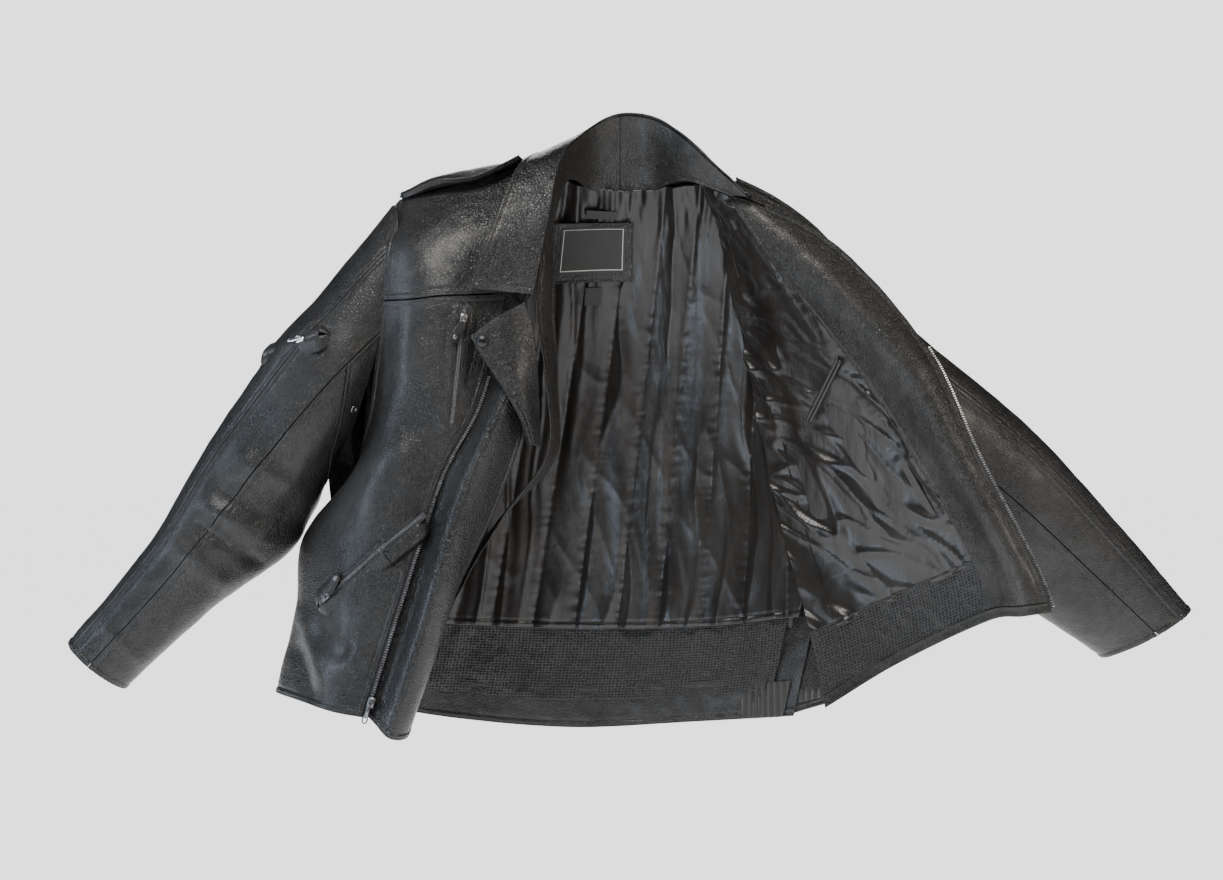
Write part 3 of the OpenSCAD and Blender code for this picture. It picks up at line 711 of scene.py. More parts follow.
def back_shell():
    back = over(BACK)
    yoke = Panel("back_yoke_leather", back, (0.004, 0.992, 0, 0.226), SHELL, -1, HIDE, HIDE, 5,
                 soft_relief, "b", nodes=["back_yoke"])
    body = Panel("back_panel_leather", back, (-0.006, 0.992, 0.229, 1), SHELL, -1, HIDE, HIDE, 5,
                 soft_relief, "tb", nodes=["back_panel"])
    facing = Panel("back_hem_facing_leather", back, (0.1, 0.9, 0.93, 1), FACING, 1, 5.5, HIDE, 3,
                   soft_relief, "tb", nodes=["back_hem_facing"])
    sewing = stitched("back_stitching", (yoke, "b", 2, 7), (body, "b", 2, 26), (facing, "t", 2),
                      (facing, "b", 3))
    rides("back", yoke.obj, body.obj, facing.obj, sewing)


def right_front_shell():
    front = over(RIGHT)
    yoke = Panel("right_yoke_leather", front, (0.004, 1, 0.004, 0.218), SHELL, 1, HIDE, HIDE, 3,
                 shell_relief, "bl", nodes=["right_front_yoke"])
    body = Panel("right_front_leather", front, (-0.014, 1, 0.22, 1), SHELL, 1, HIDE, HIDE, 2.6,
                 shell_relief, "tlrb", nodes=["right_front_panel"])
    sewing = stitched("right_front_stitching", (yoke, "b", 2, 7), (yoke, "l", 2, 7), (body, "l", 2, 7),
                      (body, "r", 2, 6), (body, "b", 3, 30))
    bends("right_front", yoke.obj, body.obj, sewing)


def flap_surface(u, v):
    """The rolled flap; before u = 0 it runs back to the front's zipped edge."""
    u, v = np.asarray(u, float), np.asarray(v, float)
    roll = over(FLAP)(np.maximum(u, 0), v)
    beside = np.interp(v, [0, 0.333, 0.667, 1], [0.363, 0.636, 0.869, 0.995])
    edge = over(RIGHT)(np.array([0.985]), beside) + np.array([0, 0.0045, 0])
    t = np.clip(-u / 0.3, 0, 1)[None, :, None]
    return roll * (1 - t) + edge * t + np.sin(np.pi * t) * np.array([0, 0.005, 0])


def shoulder_strap():
    strap = Panel("shoulder_strap_leather", over(STRAP), (0, 0.84, -0.5, 1), SHELL, -1, 3.4, 1.8, 2.4,
                  soft_relief, "tb", 0.9, 5, nodes=["right_shoulder_strap"])
    bends("right_front", strap.obj, stitched("strap_stitching", (strap, "t", 2, 6), (strap, "b", 2, 6)))


def lapel_root():
    """The front's edge where it goes in under the lapel and the collar."""
    root = Panel("lapel_root_leather", over(RIGHT), (0.9, 1.17, 0.17, 0.38), SHELL, 1, -1.2, 1.6, 2.4,
                 lambda p: 0.0022 * rumple(turned(p, 20), (0.011, 0.03, 0.05), 95))
    bends("right_front", root.obj)


def wind_flap():
    flap = Panel("wind_flap_leather", flap_surface, (-0.3, 1, 0, 1), COLLAR, 1, HIDE, 2.6, 2.6,
                 lambda p: 0.5 * shell_relief(p), "rb", nodes=["right_wind_flap"])
    inner = Panel("right_facing_leather", over(INSIDE), (0, 1, 0, 1), FACING, 1, HIDE, HIDE, 3,
                  soft_relief, "lr", 0.8, 5, nodes=["right_front_facing"])
    rides("right_front", flap.obj, stitched("flap_stitching", (flap, "r", 3), (inner, "r", 3)))
    bends("right_front", inner.obj)


def lapel():
    face = Panel("lapel_leather", over(LAPEL), (0, 1, 0, 1), COLLAR, 1, HIDE, 2.4, 1.8,
                 crumpled(0.0012, 0.03, 21), "lt", 1.0, 6.5, nodes=["right_lapel"])
    under = Panel("lapel_under_leather", over(LAPEL), (0.02, 1, 0.02, 1), SHELL, 1, -0.6, 1.2, 3,
                  nodes=["right_lapel_facing"])
    sewing = stitched("lapel_stitching", (face, "l", 2.2, 7), (face, "t", 2.2, 7), pitch=3.5)
    bends("lapel", face.obj, under.obj, sewing)


def left_front_shell():
    left = over(LEFT)
    outer = Panel("left_front_leather", left, (0.02, 1, 0.02, 1), SHELL, -1, 8.2, HIDE, 4,
                  shell_relief, "rb", nodes=["left_front_panel"])
    facing = Panel("left_facing_leather", left, (0.5, 1, 0, 0.955), FACING, 1, HIDE, HIDE, 2.6,
                   soft_relief, "lr", 1.0, 6, nodes=["left_front_facing"])
    hem = Panel("left_hem_leather", left, (0.02, 1, 0.958, 1), FACING, 1, HIDE, HIDE, 2.6,
                soft_relief, "tb", 0.9, 5, nodes=["left_hem_band"])
    sewing = stitched("left_front_stitching", (facing, "l", 2.2), (facing, "r", 2.2, 7),
                      (hem, "t", 2.2), (hem, "b", 2.2))
    bends("left_front", outer.obj, facing.obj, hem.obj, sewing)
    yoke = Panel("left_yoke_leather", over(LEFT_YOKE), (0, 1, 0, 1), SHELL, 1, HIDE, HIDE, 3,
                 soft_relief, "tr", nodes=["left_front_yoke"])
    rides("back", yoke.obj)


def collar():
    for name, body, u0, u1 in (("right", "right_front", 0.004, 0.5), ("left", "left_front", 0.5, 0.985)):
        stand = Panel(name + "_collar_stand_leather", over(STAND), (u0, u1, 0.005, 1.07), FACING, 1,
                      HIDE, HIDE, 2.6, soft_relief, "b", 0.7, 4)
        edges = "bl" if name == "right" else "br"
        leaf = Panel(name + "_collar_leaf_leather", over(LEAF), (u0, u1, -0.04, 1), COLLAR, -1,
                     2.4, HIDE, 2.2, crumpled(0.0014, 0.035, 31), edges, 1.1, 6.5)
        under = Panel(name + "_under_collar_leather", over(LEAF), (u0, u1, 0.06, 0.985), SHELL, -1,
                      -0.3, 1.2, 4)
        rows = [(leaf, "b", 2.2, 7)]
        if name == "right":
            rows.append((leaf, "l", 2.2, 7))
            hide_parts("collar_stand")
            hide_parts("collar_leaf")
            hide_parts("under_collar")
        bends(body, stand.obj, leaf.obj, under.obj, stitched(name + "_collar_stitching", *rows, pitch=3.5))


# Each sleeve panel's first and last angle round the arm, in degrees
ARM_CUT = (("top", -152, 46), ("mid", 46.6, 88), ("under", 88.6, 208))


def sleeve(side, arm):
    surface = round_arm(arm)
    way = 1 if side == "right" else -1
    made = {}
    head = 0.006 if side == "right" else -0.035
    for part, a0, a1 in ARM_CUT:
        v0 = 0.2 if part == "under" else head
        made[part] = Panel(f"{side}_{part}_sleeve_leather", surface, (a0, a1, v0, 1), SHELL, way,
                           HIDE, HIDE, 3, shell_relief, "rb" if part == "top" else "lb",
                           nodes=[f"{side}_{part}_sleeve"])
    rows = [(panel, "b", 3) for panel in made.values()]
    made["gusset"] = Panel(f"{side}_gusset_leather", surface, (88.6, 208, head, 0.198), SHELL, way,
                           HIDE, HIDE, 3, shell_relief, "lb", nodes=[f"{side}_underarm_gusset"])
    rows += [(made["top"], "r", 2, 7), (made["mid"], "l", 2), (made["under"], "l", 2, 7)]
    lining = Panel(f"{side}_sleeve_satin", surface, (-150, 207, 0.04, 0.993), SATIN, -way, 5.0, CLOTH, 6,
                   crumpled(0.002, 0.02, 41), nodes=[f"{side}_sleeve_lining"])
    bends(side + "_sleeve", *(p.obj for p in made.values()), lining.obj,
          stitched(side + "_sleeve_stitching", *rows))


# ---------------------------------------------------------------- linings


# Width of a sewn channel, in mm
CHANNEL = 56


def channel_run(p):
    """Where a point lies across the sewn channels, in channels; they fan out a little toward the hem."""
    x, z = p[..., 0] / MM, p[..., 2] / MM + 550
    return ((x - 0.112 * z) / (1 - 0.00038 * z) + 113) / CHANNEL


def quilt_relief(p):
    """Channels sewn from neck to hem, slack between the rows of stitches."""
    run = channel_run(p)
    near = np.abs(run - np.round(run)) * (CHANNEL * MM)
    puff = 0.0058 * (1 - np.exp(-near / 0.010))
    q = np.stack([run * (CHANNEL * MM), p[..., 1] * 0, p[..., 2]], -1)
    w = turned(q, 5) + 0.012 * rumple(q, 0.11, 50)[..., None] * np.array([1.0, 0, 0])
    long = rumple(w, (0.026, 0.05, 0.75), 52)
    sharp = np.maximum(0, 1 - np.abs(rumple(w, (0.040, 0.05, 0.62), 54)) * 2.4)
    slant = np.maximum(0, 1 - np.abs(rumple(turned(w, 24), (0.045, 0.05, 0.2), 55)) * 3)
    pucker = 0.0006 * rumple(q, (0.03, 0.05, 0.007), 51) * np.exp(-near / 0.007)
    neck = np.clip((p[..., 2] + 0.075) / 0.05, 0, 1) * 0.0022 * rumple(p, (0.008, 0.05, 0.05), 56)
    return puff + 0.0036 * long + 0.0040 * sharp ** 2 + 0.0008 * slant ** 2 + pucker + neck - 0.003


FACING_SEAM = np.array([(137, -12), (192, -100), (303, -249), (380, -373), (440, -486), (449, -550)]) * MM


def edge_gap(p):
    """How far a point lies from the seam that joins the left lining to its facing, seen from the front."""
    x, z = p[..., 0], p[..., 2]
    gap = np.full(x.shape, 1.0)
    for (x0, z0), (x1, z1) in zip(FACING_SEAM[:-1], FACING_SEAM[1:]):
        dx, dz = x1 - x0, z1 - z0
        t = np.clip(((x - x0) * dx + (z - z0) * dz) / (dx * dx + dz * dz), 0, 1)
        gap = np.minimum(gap, np.hypot(x - x0 - t * dx, z - z0 - t * dz))
    return gap


def crushed_relief(p):
    """Loose satin that has slumped into slanting creases."""
    q = turned(p + 0.010 * rumple(p, 0.12, 60)[..., None], 36)
    broad = rumple(q, (0.036, 0.06, 0.30), 61)
    sharp = np.maximum(0, 1 - np.abs(rumple(q, (0.044, 0.06, 0.26), 62)) * 2.6)
    small = np.maximum(0, 1 - np.abs(rumple(turned(q, 20), (0.022, 0.06, 0.10), 63)) * 2.6)
    fine = rumple(turned(q, -25), (0.014, 0.06, 0.06), 65)
    gather = rumple(turned(p, 33), (0.05, 0.05, 0.008), 64) * np.exp(-(edge_gap(p) / 0.016) ** 2)
    return (0.0050 * broad + 0.0056 * sharp ** 1.8 + 0.0030 * small ** 2 + 0.0011 * fine
            + 0.0018 * gather - 0.004)


def slack_net(p):
    """Net that hangs a little full between its seams."""
    return 0.004 * rumple(p, (0.03, 0.05, 0.06), 71) + 0.0015 * rumple(p, 0.012, 72)


def flat_size(panel):
    """The width and height, in metres, of the flat cloth that a panel takes."""
    area = panel.over
    down, across = area[1:, :-1] - area[:-1, :-1], area[:-1, 1:] - area[:-1, :-1]
    total = np.linalg.norm(np.cross(down, across), axis=2).sum()
    return float(total / panel.tall), float(panel.tall)


def linings():
    quilt = Panel("back_quilted_satin", over(BACK), (0.045, 0.96, 0.012, 0.835), SATIN, 1, 12, 4, 2.3,
                  quilt_relief, "b", 0.6, 8, nodes=["back_liner"])
    mesh = Panel("back_net", over(BACK), (0.06, 0.93, 0.8, 0.955), NET, 1, 7.5, 0.9, 3, slack_net,
                 nodes=["back_mesh"])
    rides("back", quilt.obj, mesh.obj, stitched("quilt_stitching", (quilt, "b", 3, 9)))
    front = Panel("left_front_satin", over(LEFT), (0.015, 0.51, 0, 0.79), SATIN, 1, 2, CLOTH, 2.4,
                  crushed_relief, "b", 0.7, 7, nodes=["left_front_liner"])
    hem = Panel("left_front_net", over(LEFT), (0.015, 0.52, 0.775, 0.965), NET, 1, 1.2, 0.9, 3, slack_net,
                nodes=["left_mesh"])
    bends("left_front", front.obj, hem.obj)
    hidden = Panel("right_front_satin", over(RIGHT), (0.16, 0.95, 0.04, 0.87), SATIN, -1, 10, 1.4, 4,
                   crumpled(0.003, (0.02, 0.05, 0.1), 81), nodes=["right_front_liner"])
    bends("right_front", hidden.obj)
    for name, cut, region, lift, body in (
            ("chest_pocket_bag", RIGHT, (0.5, 0.9, 0.3, 0.5), 3.8, "right_front"),
            ("hip_pocket_bag", RIGHT, (0.45, 0.92, 0.66, 0.92), 3.8, "right_front"),
            ("inner_pocket_bag", LEFT, (0.12, 0.46, 0.42, 0.7), 3.4, "left_front")):
        bag = Panel(name + "_cloth", over(cut), region, SATIN, -1, lift, CLOTH, 8, nodes=[name])
        bends(body, bag.obj)
    for piece in (quilt, mesh, front, hem, hidden):
        flat_size(piece)


def side_span(back_u, back_y, left_u, left_y, sag):
    """A surface from a line down the back round to a line down the turned front, sagging between them."""
    def surface(u, v):
        a = over(BACK)([back_u], v)[:, 0] + np.array([0, back_y, 0])
        b = over(LEFT)([left_u], v)[:, 0] + np.array([0, left_y, 0])
        u = np.asarray(u, float)[None, :, None]
        return a[:, None] * (1 - u) + b[:, None] * u + np.sin(np.pi * np.clip(u, 0, 1)) * np.array(sag)
    return surface


def side_bridge():
    """Net and gathered satin that join the back lining to the turned front, and the leather outside them."""
    surface = side_span(0.9, -0.009, 0.09, 0, (0, 0.02, 0))
    outside = side_span(0.975, 0.003, 0.05, 0.007, (0.004, 0.012, 0))
    top = Panel("side_gathered_satin", surface, (-0.1, 1, 0.04, 0.84), SATIN, 1, 0, CLOTH, 3,
                crumpled(0.003, (0.016, 0.04, 0.06), 85))
    low = Panel("side_gathered_net", surface, (-0.1, 1, 0.82, 0.97), NET, 1, 0, 0.9, 2.6,
                crumpled(0.003, (0.012, 0.04, 0.05), 86))
    rib = Panel("side_elastic_bridge", surface, (-0.1, 1.05, 0.962, 0.995), RIB, 1, -1, 3, 1.2,
                ribbed(0.0015, 0.0012))
    shell = Panel("left_side_leather", outside, (0, 1, 0.1, 1), SHELL, -1, HIDE, HIDE, 3, soft_relief, "lb",
                  nodes=["left_side_panel"])
    for piece in (top, low, rib, shell):
        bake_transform(piece.obj)


def labels():
    back = over(BACK)
    patch = Panel("label_patch_leather", back, (0.363, 0.537, 0.15, 0.29), COLLAR, 1, 20.5, HIDE, 2,
                  crumpled(0.0006, 0.03, 91), "lrtb", 0.7, 3.2, nodes=["label_patch"])
    field = Panel("label_field_cloth", back, (0.379, 0.521, 0.166, 0.274), TAG, 1, 21.3, 1.2, 2)
    left, right, top, low, line = 0.384, 0.516, 0.1715, 0.2685, 0.002
    frame_lines = [Panel("label_frame_" + str(i), back, cut, TAG_EDGE, 1, 21.9, 0.7, 2)
                   for i, cut in enumerate([(left, right, top, top + line), (left, right, low - line, low),
                                            (left, left + line, top, low), (right - line, right, top, low)])]
    tag = Panel("fibre_tag_cloth", back, (0.43, 0.5, 0.1, 0.135), TAG, 1, 19.5, 1.0, 2, nodes=["fibre_tag"])
    size = Panel("size_tag_cloth", back, (0.44, 0.475, 0.3, 0.33), TAG, 1, 19.5, 1.0, 2, nodes=["size_tag"])
    rides("back", patch.obj, field.obj, *(q.obj for q in frame_lines), tag.obj, size.obj,
          stitched("label_stitching", *((patch, key, 2.6) for key in "lrtb"), pitch=3))


def side_elastics():
    for name, u0, u1 in (("right", 0.03, 0.105), ("left", 0.86, 0.97)):
        ribs = Panel(name + "_elastic_knit", over(BACK), (u0, u1, 0.94, 1), RIB, 1, 6.5, 3.4, 1.2,
                     ribbed(0.0013, 0.0013), nodes=[name + "_side_elastic"])
        rides("back", ribs.obj)


# ---------------------------------------------------------------- zips and fasteners


def frame_of(start, end, out):
    """Axes for a fitting: X from start to end, Z close to the way out; each is a column."""
    x = (end - start) / np.linalg.norm(end - start)
    y = np.cross(out, x)
    y /= np.linalg.norm(y)
    return np.stack([x, y, np.cross(x, y)], 1)


def block(size, soften, centre=(0, 0, 0)):
    """A bar's vertices and faces: a box whose edges and corners are planed off. Sizes are in mm."""
    sx, sy, sz = (s / 2 for s in size)
    c = soften
    ends = (-1, 1)
    verts, index = [], {}
    for axis, (a, b, d) in enumerate(((sx, sy - c, sz - c), (sx - c, sy, sz - c), (sx - c, sy - c, sz))):
        for i, j, k in itertools.product(ends, ends, ends):
            index[axis, i, j, k] = len(verts)
            verts.append((a * i + centre[0], b * j + centre[1], d * k + centre[2]))
    faces = []

    def add(forward, *corner_lists):
        for corners in corner_lists:
            face = [index[corner] for corner in corners]
            faces.append(face if forward else face[::-1])

    for i in ends:
        add(i > 0, [(0, i, -1, -1), (0, i, 1, -1), (0, i, 1, 1), (0, i, -1, 1)],
            [(1, -1, i, -1), (1, -1, i, 1), (1, 1, i, 1), (1, 1, i, -1)],
            [(2, -1, -1, i), (2, 1, -1, i), (2, 1, 1, i), (2, -1, 1, i)])
    for j, k in itertools.product(ends, ends):
        add(j * k < 0, [(1, -1, j, k), (2, -1, j, k), (2, 1, j, k), (1, 1, j, k)],
            [(0, j, -1, k), (0, j, 1, k), (2, j, 1, k), (2, j, -1, k)],
            [(0, j, k, -1), (1, j, k, -1), (1, j, k, 1), (0, j, k, 1)])
    for i, j, k in itertools.product(ends, ends, ends):
        add(i * j * k > 0, [(0, i, j, k), (1, i, j, k), (2, i, j, k)])
    return np.array(verts) * MM, faces


def teeth(name, points, normals, finish, pitch, size, shift):
    """One metal tooth after another along a tape's edge; all sizes are in mm."""
    p, n, t = even(points, normals, pitch * MM, 1 * MM)
    s = np.cross(n, t)
    shape, faces = block(size, 0.45)
    verts, all_faces = [], []
    for i in range(len(p)):
        basis = np.stack([t[i], s[i], n[i]])
        verts.append(p[i] + shape @ basis + s[i] * shift * MM)
        all_faces += [[q + i * len(shape) for q in f] for f in faces]
    return build(name, np.concatenate(verts), all_faces, finish, smooth=False)


def band(name, points, normals, a, b, bottom, top, finish):
    """A tape laid beside a line, from a to b across it and from bottom to top above it, in mm."""
    s = np.cross(normals, unit(np.gradient(points, axis=0)))
    across = np.linspace(a, b, 5)
    low_rows = np.stack([points + s * q * MM + normals * bottom * MM for q in across], 1)
    top_rows = np.stack([points + s * q * MM + normals * top * MM for q in across], 1)
    return build(name, np.concatenate([top_rows.reshape(-1, 3), low_rows.reshape(-1, 3)]),
                 slab_faces(*top_rows.shape[:2], False), finish, smooth=False)


def front_zip():
    for name, cut, v0, body, relief in (("right", RIGHT, 0.36, "right_front", shell_relief),
                                        ("left", LEFT, 0.4, "left_front", soft_relief)):
        edge = Panel("edge", over(cut), (0.9, 1, v0, 1 if name == "right" else 0.985), SHELL, 1, 0.8, 1, 3,
                     relief, make=False)
        points, normals = edge.line("r", 0)
        tape = band(f"{name}_front_tape", points, normals, -3, 4.5, -1.2, 0.0, TAPE)
        chain = teeth(f"{name}_front_teeth", points, normals, CHAIN, 3.1, (1.9, 3.8, 2.6), 4.2)
        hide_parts("main_tape_" + name)
        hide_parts("main_teeth_" + name)
        rides(body, tape, chain)


def circle(count):
    """Angles at equal steps round a circle."""
    return np.linspace(0, 2 * np.pi, count, endpoint=False)


def tube_faces(rows, around, closed=False):
    """Faces along a run of rings of points, with a cap at each end unless the run closes on itself."""
    faces = [[i * around + j, i * around + (j + 1) % around,
              (i + 1) % rows * around + (j + 1) % around, (i + 1) % rows * around + j]
             for i in range(rows if closed else rows - 1) for j in range(around)]
    caps = [list(range(around)), [(rows - 1) * around + j for j in range(around)]]
    return faces if closed else faces + caps


class Fitting:
    """Small solid parts in one place: x along the zip, y across it, z away from the leather, in mm."""

    def __init__(self):
        self.verts, self.faces, self.count = [], [], 0

    def add(self, verts, faces):
        self.verts.append(np.asarray(verts, float))
        self.faces += [[int(q) + self.count for q in f] for f in faces]
        self.count += len(verts)

    def bar(self, size, soften, centre):
        verts, faces = block(size, soften)
        self.add(verts / MM + np.array(centre), faces)

    def lathe(self, profile, centre, around):
        """A turned piece: radius and height along its profile."""
        verts = [(centre[0] + r * math.cos(b), centre[1] + r * math.sin(b), centre[2] + z)
                 for r, z in profile for b in circle(around)]
        self.add(verts, tube_faces(len(profile), around))

    def wire(self, path, radius, closed=False, around=8):
        path = np.array(path, float)
        along = np.roll(path, -1, 0) - np.roll(path, 1, 0) if closed else np.gradient(path, axis=0)
        t = unit(along)
        side = unit(np.cross(t, np.array([0.3, 0.9, 0.2])))
        other = np.cross(t, side)
        a = circle(around)[None, :, None]
        ring = path[:, None] + radius * (side[:, None] * np.cos(a) + other[:, None] * np.sin(a))
        self.add(ring.reshape(-1, 3), tube_faces(len(path), around, closed))

    def loft(self, rows):
        """Closes a run of matching cross-sections into one solid."""
        rows = np.array(rows, float)
        self.add(rows.reshape(-1, 3), tube_faces(*rows.shape[:2]))

    def make(self, name, finish, at, axes):
        return build(name, at + np.concatenate(self.verts) * MM @ axes.T, self.faces, finish, tidy=True)


def point_off(surface, u, v, lift, u_step=0.01):
    """A point so many mm in front of a surface, and the way that the surface faces there."""
    across = surface([u - u_step, u + u_step], [v])[0]
    down = surface([u], [v - 0.01, v + 0.01])[:, 0]
    way = np.cross(down[1] - down[0], across[1] - across[0])
    way /= np.linalg.norm(way)
    return surface([u], [v])[0, 0] + lift * MM * way, way


def off(cut, u, v, lift):
    return point_off(over(cut), u, v, lift)


def off_arm(arm, angle, v, lift):
    return point_off(round_arm(arm), angle, v, lift, u_step=2)


def welts(name, start, end, out, body, low=16, high=16, depth=9.0):
    """Two stitched leather lips with a chain between them, standing a little above the shell."""
    axes = frame_of(start, end, out)
    length = np.linalg.norm(end - start) / MM
    lips, chain, tape, sewing = Fitting(), Fitting(), Fitting(), Sewing()
    x = np.linspace(-low, length + high, 70)
    gap = np.minimum(x + low if low else 99.0, length + high - x if high else 99.0)
    pinch = np.sqrt(np.clip((gap - 3) / 12, 0, 1))
    sink = np.clip(1 - gap / 15, 0, 1) ** 2 * depth
    profile = [(0.0, -depth), (0.0, 0.1), (0.4, 0.7), (1.3, 1.0), (2.4, 0.95), (3.2, 0.55), (4.0, 0.8),
               (5.2, 0.6), (6.4, 0.15), (8.0, -0.6), (10.5, -1.9), (13.5, -3.6), (16.5, -5.6),
               (18.5, -depth)]
    inner_edge, narrowing = 0.4 + 3.2 * pinch, 0.55 + 0.45 * pinch
    facing_out = np.repeat(axes[:, 2][None], len(x), 0)
    for side in (-1, 1):
        lips.loft([[(x[i], side * (inner_edge[i] + y * narrowing[i]), z - sink[i]) for y, z in profile]
                   for i in range(len(x))])
        for y, z in ((3.5, 0.75), (6.6, 0.2)):
            line = np.stack([x, side * (inner_edge + (y - 3.6) * narrowing), z - sink], 1)
            sewing.along(start + line * MM @ axes.T, facing_out, 3.2, 5.0, 2.2, 0.35)
    pitch = 2.2
    for k in range(int(length / pitch)):
        for shift, y in ((1, 1.15), (2.1, -1.15)):
            chain.bar((1.25, 2.7, 1.6), 0.35, (k * pitch + shift, y, 0.8))
    tape.bar((length + 10, 8.5, 0.8), 0.3, (length / 2, 0, -0.5))
    made = [lips.make(name + "_lips", SHELL, start, axes), chain.make(name + "_chain", STEEL, start, axes),
            tape.make(name + "_tape", TAPE, start, axes), sewing.make(name + "_stitching")]
    rides(body, *made)
    return made


def slider(name, node, body, at, axes, finish):
    """Top plate, nose, two side walls and the bail that carries the pull."""
    made = Fitting()
    top = 2.3
    made.bar((12, 9, 1.7), 0.6, (0, 0, top + 0.85))
    made.bar((6.5, 6.6, 1.3), 0.5, (-2.2, 0, top + 1.7))
    for y in (-3.8, 3.8):
        made.bar((11, 1.5, 2.4), 0.5, (0, y, 2.2))
    bail = [(2.8, 3.2), (2.8, 6.0), (2.2, 7.0), (1, 7.2)]
    made.wire([(0, -y, z) for y, z in bail] + [(0, y, z) for y, z in bail[::-1]], 0.6)
    piece = made.make(name, finish, at, axes)
    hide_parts(node)
    rides(body, piece)


def puller(name, node, body, at, axes, lean, length, width, finish, tab_finish):
    """Metal eye and clamp, then a tab; a wide one ends in a rivet."""
    metal, tab = Fitting(), Fitting()
    a = circle(22)
    metal.wire(np.stack([2.2 * np.cos(a), 0 * a, 7.1 + 2.2 * np.sin(a)], 1), 0.5, closed=True)
    metal.bar((7.5, 3.2, 1.2), 0.4, (5.4, 0, 4.9))
    c, s = math.cos(math.radians(lean)), math.sin(math.radians(lean))
    turn = np.array([[c, -s], [s, c]])

    def place_tab(x, y, z):
        return (*(turn @ np.array([x, y]) + np.array([7, 0])), z + 4.2)

    reach, round_end = length - 7, width / 2
    rows = []
    for t in np.linspace(0, 1, 26):
        x = -1 + (reach + 1) * t
        past = max(0, (x - (reach - round_end)) / round_end)
        half = round_end * min(1, 0.5 + 2.4 * t) * math.sqrt(max(0.02, 1 - past ** 2))
        ys = np.linspace(-1, 1, 9)
        rows.append([place_tab(x, half * y, 2.3 - 0.9 * abs(y) ** 6) for y in ys]
                    + [place_tab(x, half * y, 0.6 * abs(y) ** 6) for y in ys[::-1]])
    tab.loft(rows)
    if width > 8:
        centre = place_tab(reach - round_end, 0, 2.2)
        metal.lathe([(0.4, 1.5), (1.7, 1.4), (2.7, 0.95), (3.2, 0.2), (3.3, -0.2)], centre, 24)
    made = [metal.make(name + "_eye", finish, at, axes), tab.make(name, tab_finish, at, axes)]
    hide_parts(node)
    rides(body, *made)


def slider_and_pull(piece, slider_node, pull_node, start, end, out, way_along, metal, lean, length, width,
                    tab_finish):
    """A slider so many mm along its chain, and the pull that hangs from it."""
    axes = frame_of(start, end, out)
    at = start + axes[:, 0] * way_along * MM
    slider(piece, slider_node, slider_node + "_body", at, axes, metal)
    puller(pull_node + "_tab", pull_node, pull_node + "_body", at, axes, lean, length, width,
           metal, tab_finish)


def pocket_zips():
    top, low = off(RIGHT, 0.68, 0.24, 6)[0], off(RIGHT, 0.85, 0.47, 6)[0]
    out = off(RIGHT, 0.85, 0.34, 0)[1]
    made = welts("chest_zip", top, low, out, "right_front")
    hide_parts("chest_zip")
    slider_and_pull("chest_slider_body_metal", "chest_slider", "chest_puller", top, low, out, 12,
                    STEEL, -25, 34, 13, SHELL)

    low, mid, top = off(RIGHT, 0.5, 0.85, 11)[0], off(RIGHT, 0.8, 0.74, 10)[0], off(RIGHT, 0.98, 0.675, 9)[0]
    out = off(RIGHT, 0.65, 0.795, 0)[1]
    made = welts("hip_zip", low, mid, out, "right_front", high=0, depth=12)
    welts("hip_zip_upper", mid, top, out, "right_front", low=0, high=3, depth=12)
    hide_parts("hip_zip")
    slider_and_pull("hip_slider_metal", "hip_slider", "hip_puller", low, mid, out, 10,
                    STEEL, 24, 34, 13, SHELL)

    low, top = off_arm(RIGHT_ARM, 17, 0.42, 9)[0], off_arm(RIGHT_ARM, 54, 0.31, 9)[0]
    out = off_arm(RIGHT_ARM, 36, 0.365, 0)[1]
    made = welts("arm_zip", top, low, out, "right_sleeve", depth=10)
    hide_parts("arm_zip")
    slider_and_pull("arm_slider_metal", "arm_slider", "arm_pull", top, low, out, 22,
                    NICKEL, -20, 20, 6, NICKEL)


def front_slider():
    """The main slider at the foot of the chain, and its pull, which ends in a ring."""
    low, high = over(RIGHT)(np.array([1.0]), np.array([0.985, 6 / 7]))[:, 0]
    out = off(RIGHT, 0.99, 0.93, 0)[1]
    axes = frame_of(low, high, out)
    body, pull = Fitting(), Fitting()
    middle = -6.2
    for z in (3.2, -1.2):
        body.bar((12.5, 9, 2.2), 0.8, (6, middle, z))
    body.bar((12, 2.2, 5), 0.7, (6, -9.6, 1))
    body.bar((5, 5, 3), 0.8, (10.5, middle, 1))
    bail = [(-9.3, 4), (-9.3, 6.6), (-8.3, 7.5), (-4.1, 7.5), (-3.1, 6.6), (-3.1, 4)]
    body.wire([(6, y, z) for y, z in bail], 0.7)
    a = circle(22)
    pull.wire(np.stack([6 + 2.2 * np.cos(a), middle + 0 * a, 7.6 + 2.2 * np.sin(a)], 1), 0.55, closed=True)
    pull.bar((16, 4.6, 1.5), 0.6, (-3.5, middle, 5.3))
    pull.wire(np.stack([-15.5 + 4.4 * np.cos(a), middle + 3.0 * np.sin(a), 5.3 + 0 * a], 1), 0.9, closed=True)
    for name, fitting in (("slider", body), ("pull", pull)):
        piece = fitting.make(f"front_{name}_metal", STEEL, low, axes)
        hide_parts("main_" + name)
        rides("front_" + name, piece)


def lying_on(at, way):
    """Axes for a round fitting that lies flat on the leather."""
    return frame_of(at, at + np.cross(way, np.array([0.0, 0, 1])), way)


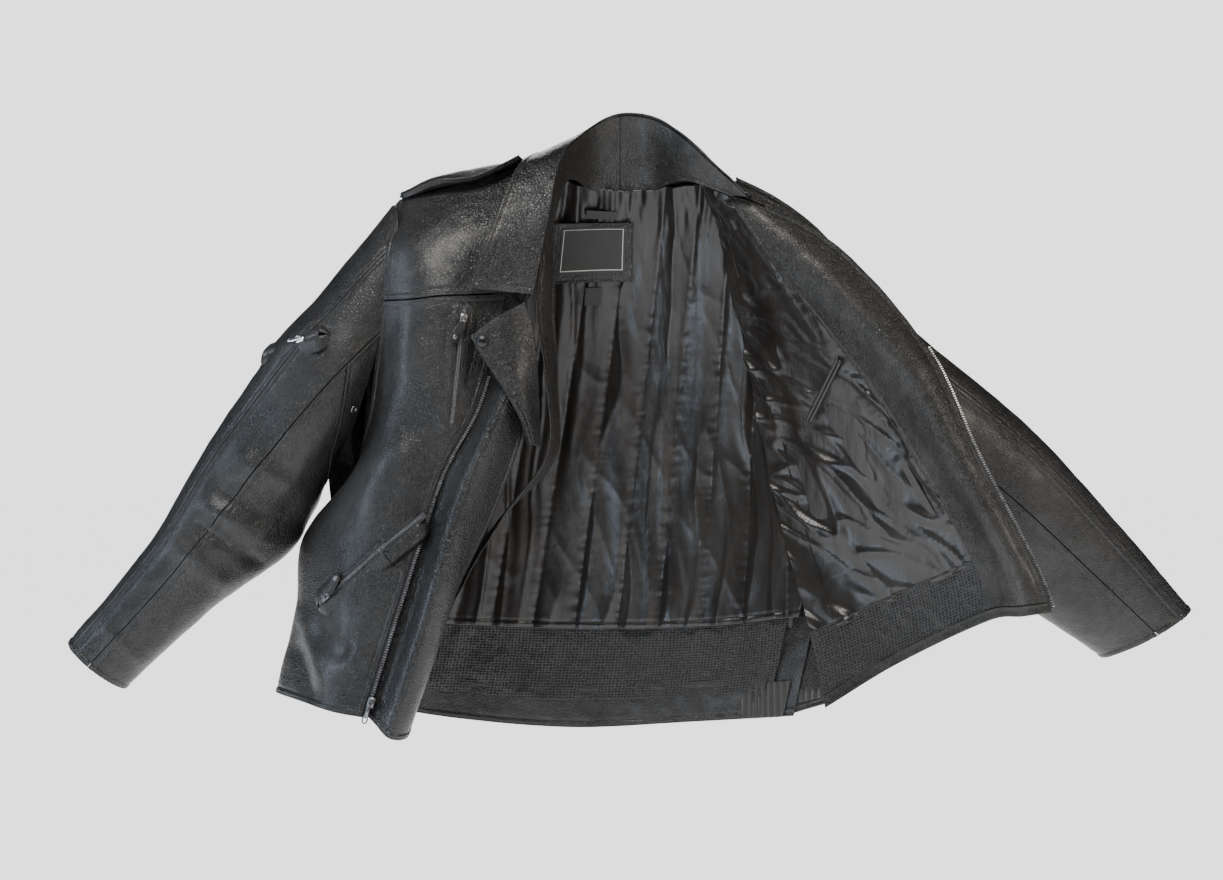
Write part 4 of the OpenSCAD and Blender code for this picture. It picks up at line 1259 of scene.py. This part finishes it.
def snap_and_eyelet():
    at, way = off(LAPEL, 0.14, 0.09, 2.4)
    axes = lying_on(at, way)
    cap, socket = Fitting(), Fitting()
    cap.lathe([(0.3, 2.5), (2.4, 2.45), (4.4, 2.0), (5.7, 1.2), (6.3, 0.7), (6.6, 0.75), (7.0, 0.4),
               (6.9, -0.2)], (0, 0, 0.3), 36)
    socket.lathe([(0.6, -4.2), (2.2, -4.4), (2.6, -5.2), (3.8, -5.4), (5.2, -4.8), (5.5, -3.6)],
                 (0, 0, 0), 28)
    made = [cap.make("lapel_snap_metal", SNAP, at, axes),
            socket.make("lapel_snap_underside", STEEL, at, axes)]
    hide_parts("lapel_snap_cap")
    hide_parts("lapel_snap_socket")
    rides("lapel", *made)
    at, way = off_arm(RIGHT_ARM, 118, 0.09, 3.4)
    ring = Fitting()
    ring.lathe([(2.5, -0.6), (2.6, 0.7), (3.1, 1.3), (3.9, 1.35), (4.7, 0.9), (5.1, 0.1), (4.9, -0.4)],
               (0, 0, 0), 32)
    piece = ring.make("underarm_eyelet_metal", STEEL, at, lying_on(at, way))
    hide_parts("underarm_eyelet")
    rides("right_sleeve", piece)


def inner_pocket():
    """Two satin rolls along the slit of the pocket inside the left front."""
    start = over(LEFT)(np.array([0.2]), np.array([0.46]))[0, 0] + np.array([0, -0.016, 0])
    end = over(LEFT)(np.array([0.44]), np.array([0.37]))[0, 0] + np.array([0, -0.012, 0])
    axes = frame_of(start, end, np.array([-0.5, -0.85, 0]))
    length = np.linalg.norm(end - start) / MM
    welt = Fitting()
    for y in (-2.6, 2.4):
        welt.loft([[(x, y + 2.3 * math.cos(b), 0.4 + 1.5 * math.sin(b)) for b in circle(12)]
                   for x in np.linspace(0, length, 24)])
    piece = welt.make("inner_pocket_welt_satin", SATIN, start, axes)
    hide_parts("inner_pocket_welt")
    bends("left_front", piece)


def floor():
    """A pale sheet below the jacket, as bright as the backdrop."""
    side, far, z = 8.0, 24.0, cad_low[2] - 0.32
    mesh = bpy.data.meshes.new("floor")
    mesh.from_pydata([(-side, -side, z), (side, -side, z), (side, far, z), (-side, far, z)],
                     [], [(0, 1, 2, 3)])
    f = Finish("pale_floor", "black_leather", Roughness=1.0, Specular_IOR_Level=0.0, Emission_Strength=1.0)
    tone = f.noise(f.place(), 0.6, 2)
    f.use(Base_Color=f.mix(tone, (0.05, 0.05, 0.05, 1), (0.06, 0.06, 0.06, 1)))
    f.shader.inputs["Emission Color"].default_value = (*(c - 0.03 for c in PAPER), 1)
    mesh.materials.append(f.material)
    obj = bpy.data.objects.new("floor", mesh)
    bpy.context.collection.objects.link(obj)


camera()
studio()
floor()
back_shell()
right_front_shell()
shoulder_strap()
lapel_root()
wind_flap()
lapel()
left_front_shell()
collar()
sleeve("right", RIGHT_ARM)
sleeve("left", LEFT_ARM)
linings()
side_bridge()
labels()
side_elastics()
front_zip()
pocket_zips()
front_slider()
snap_and_eyelet()
inner_pocket()
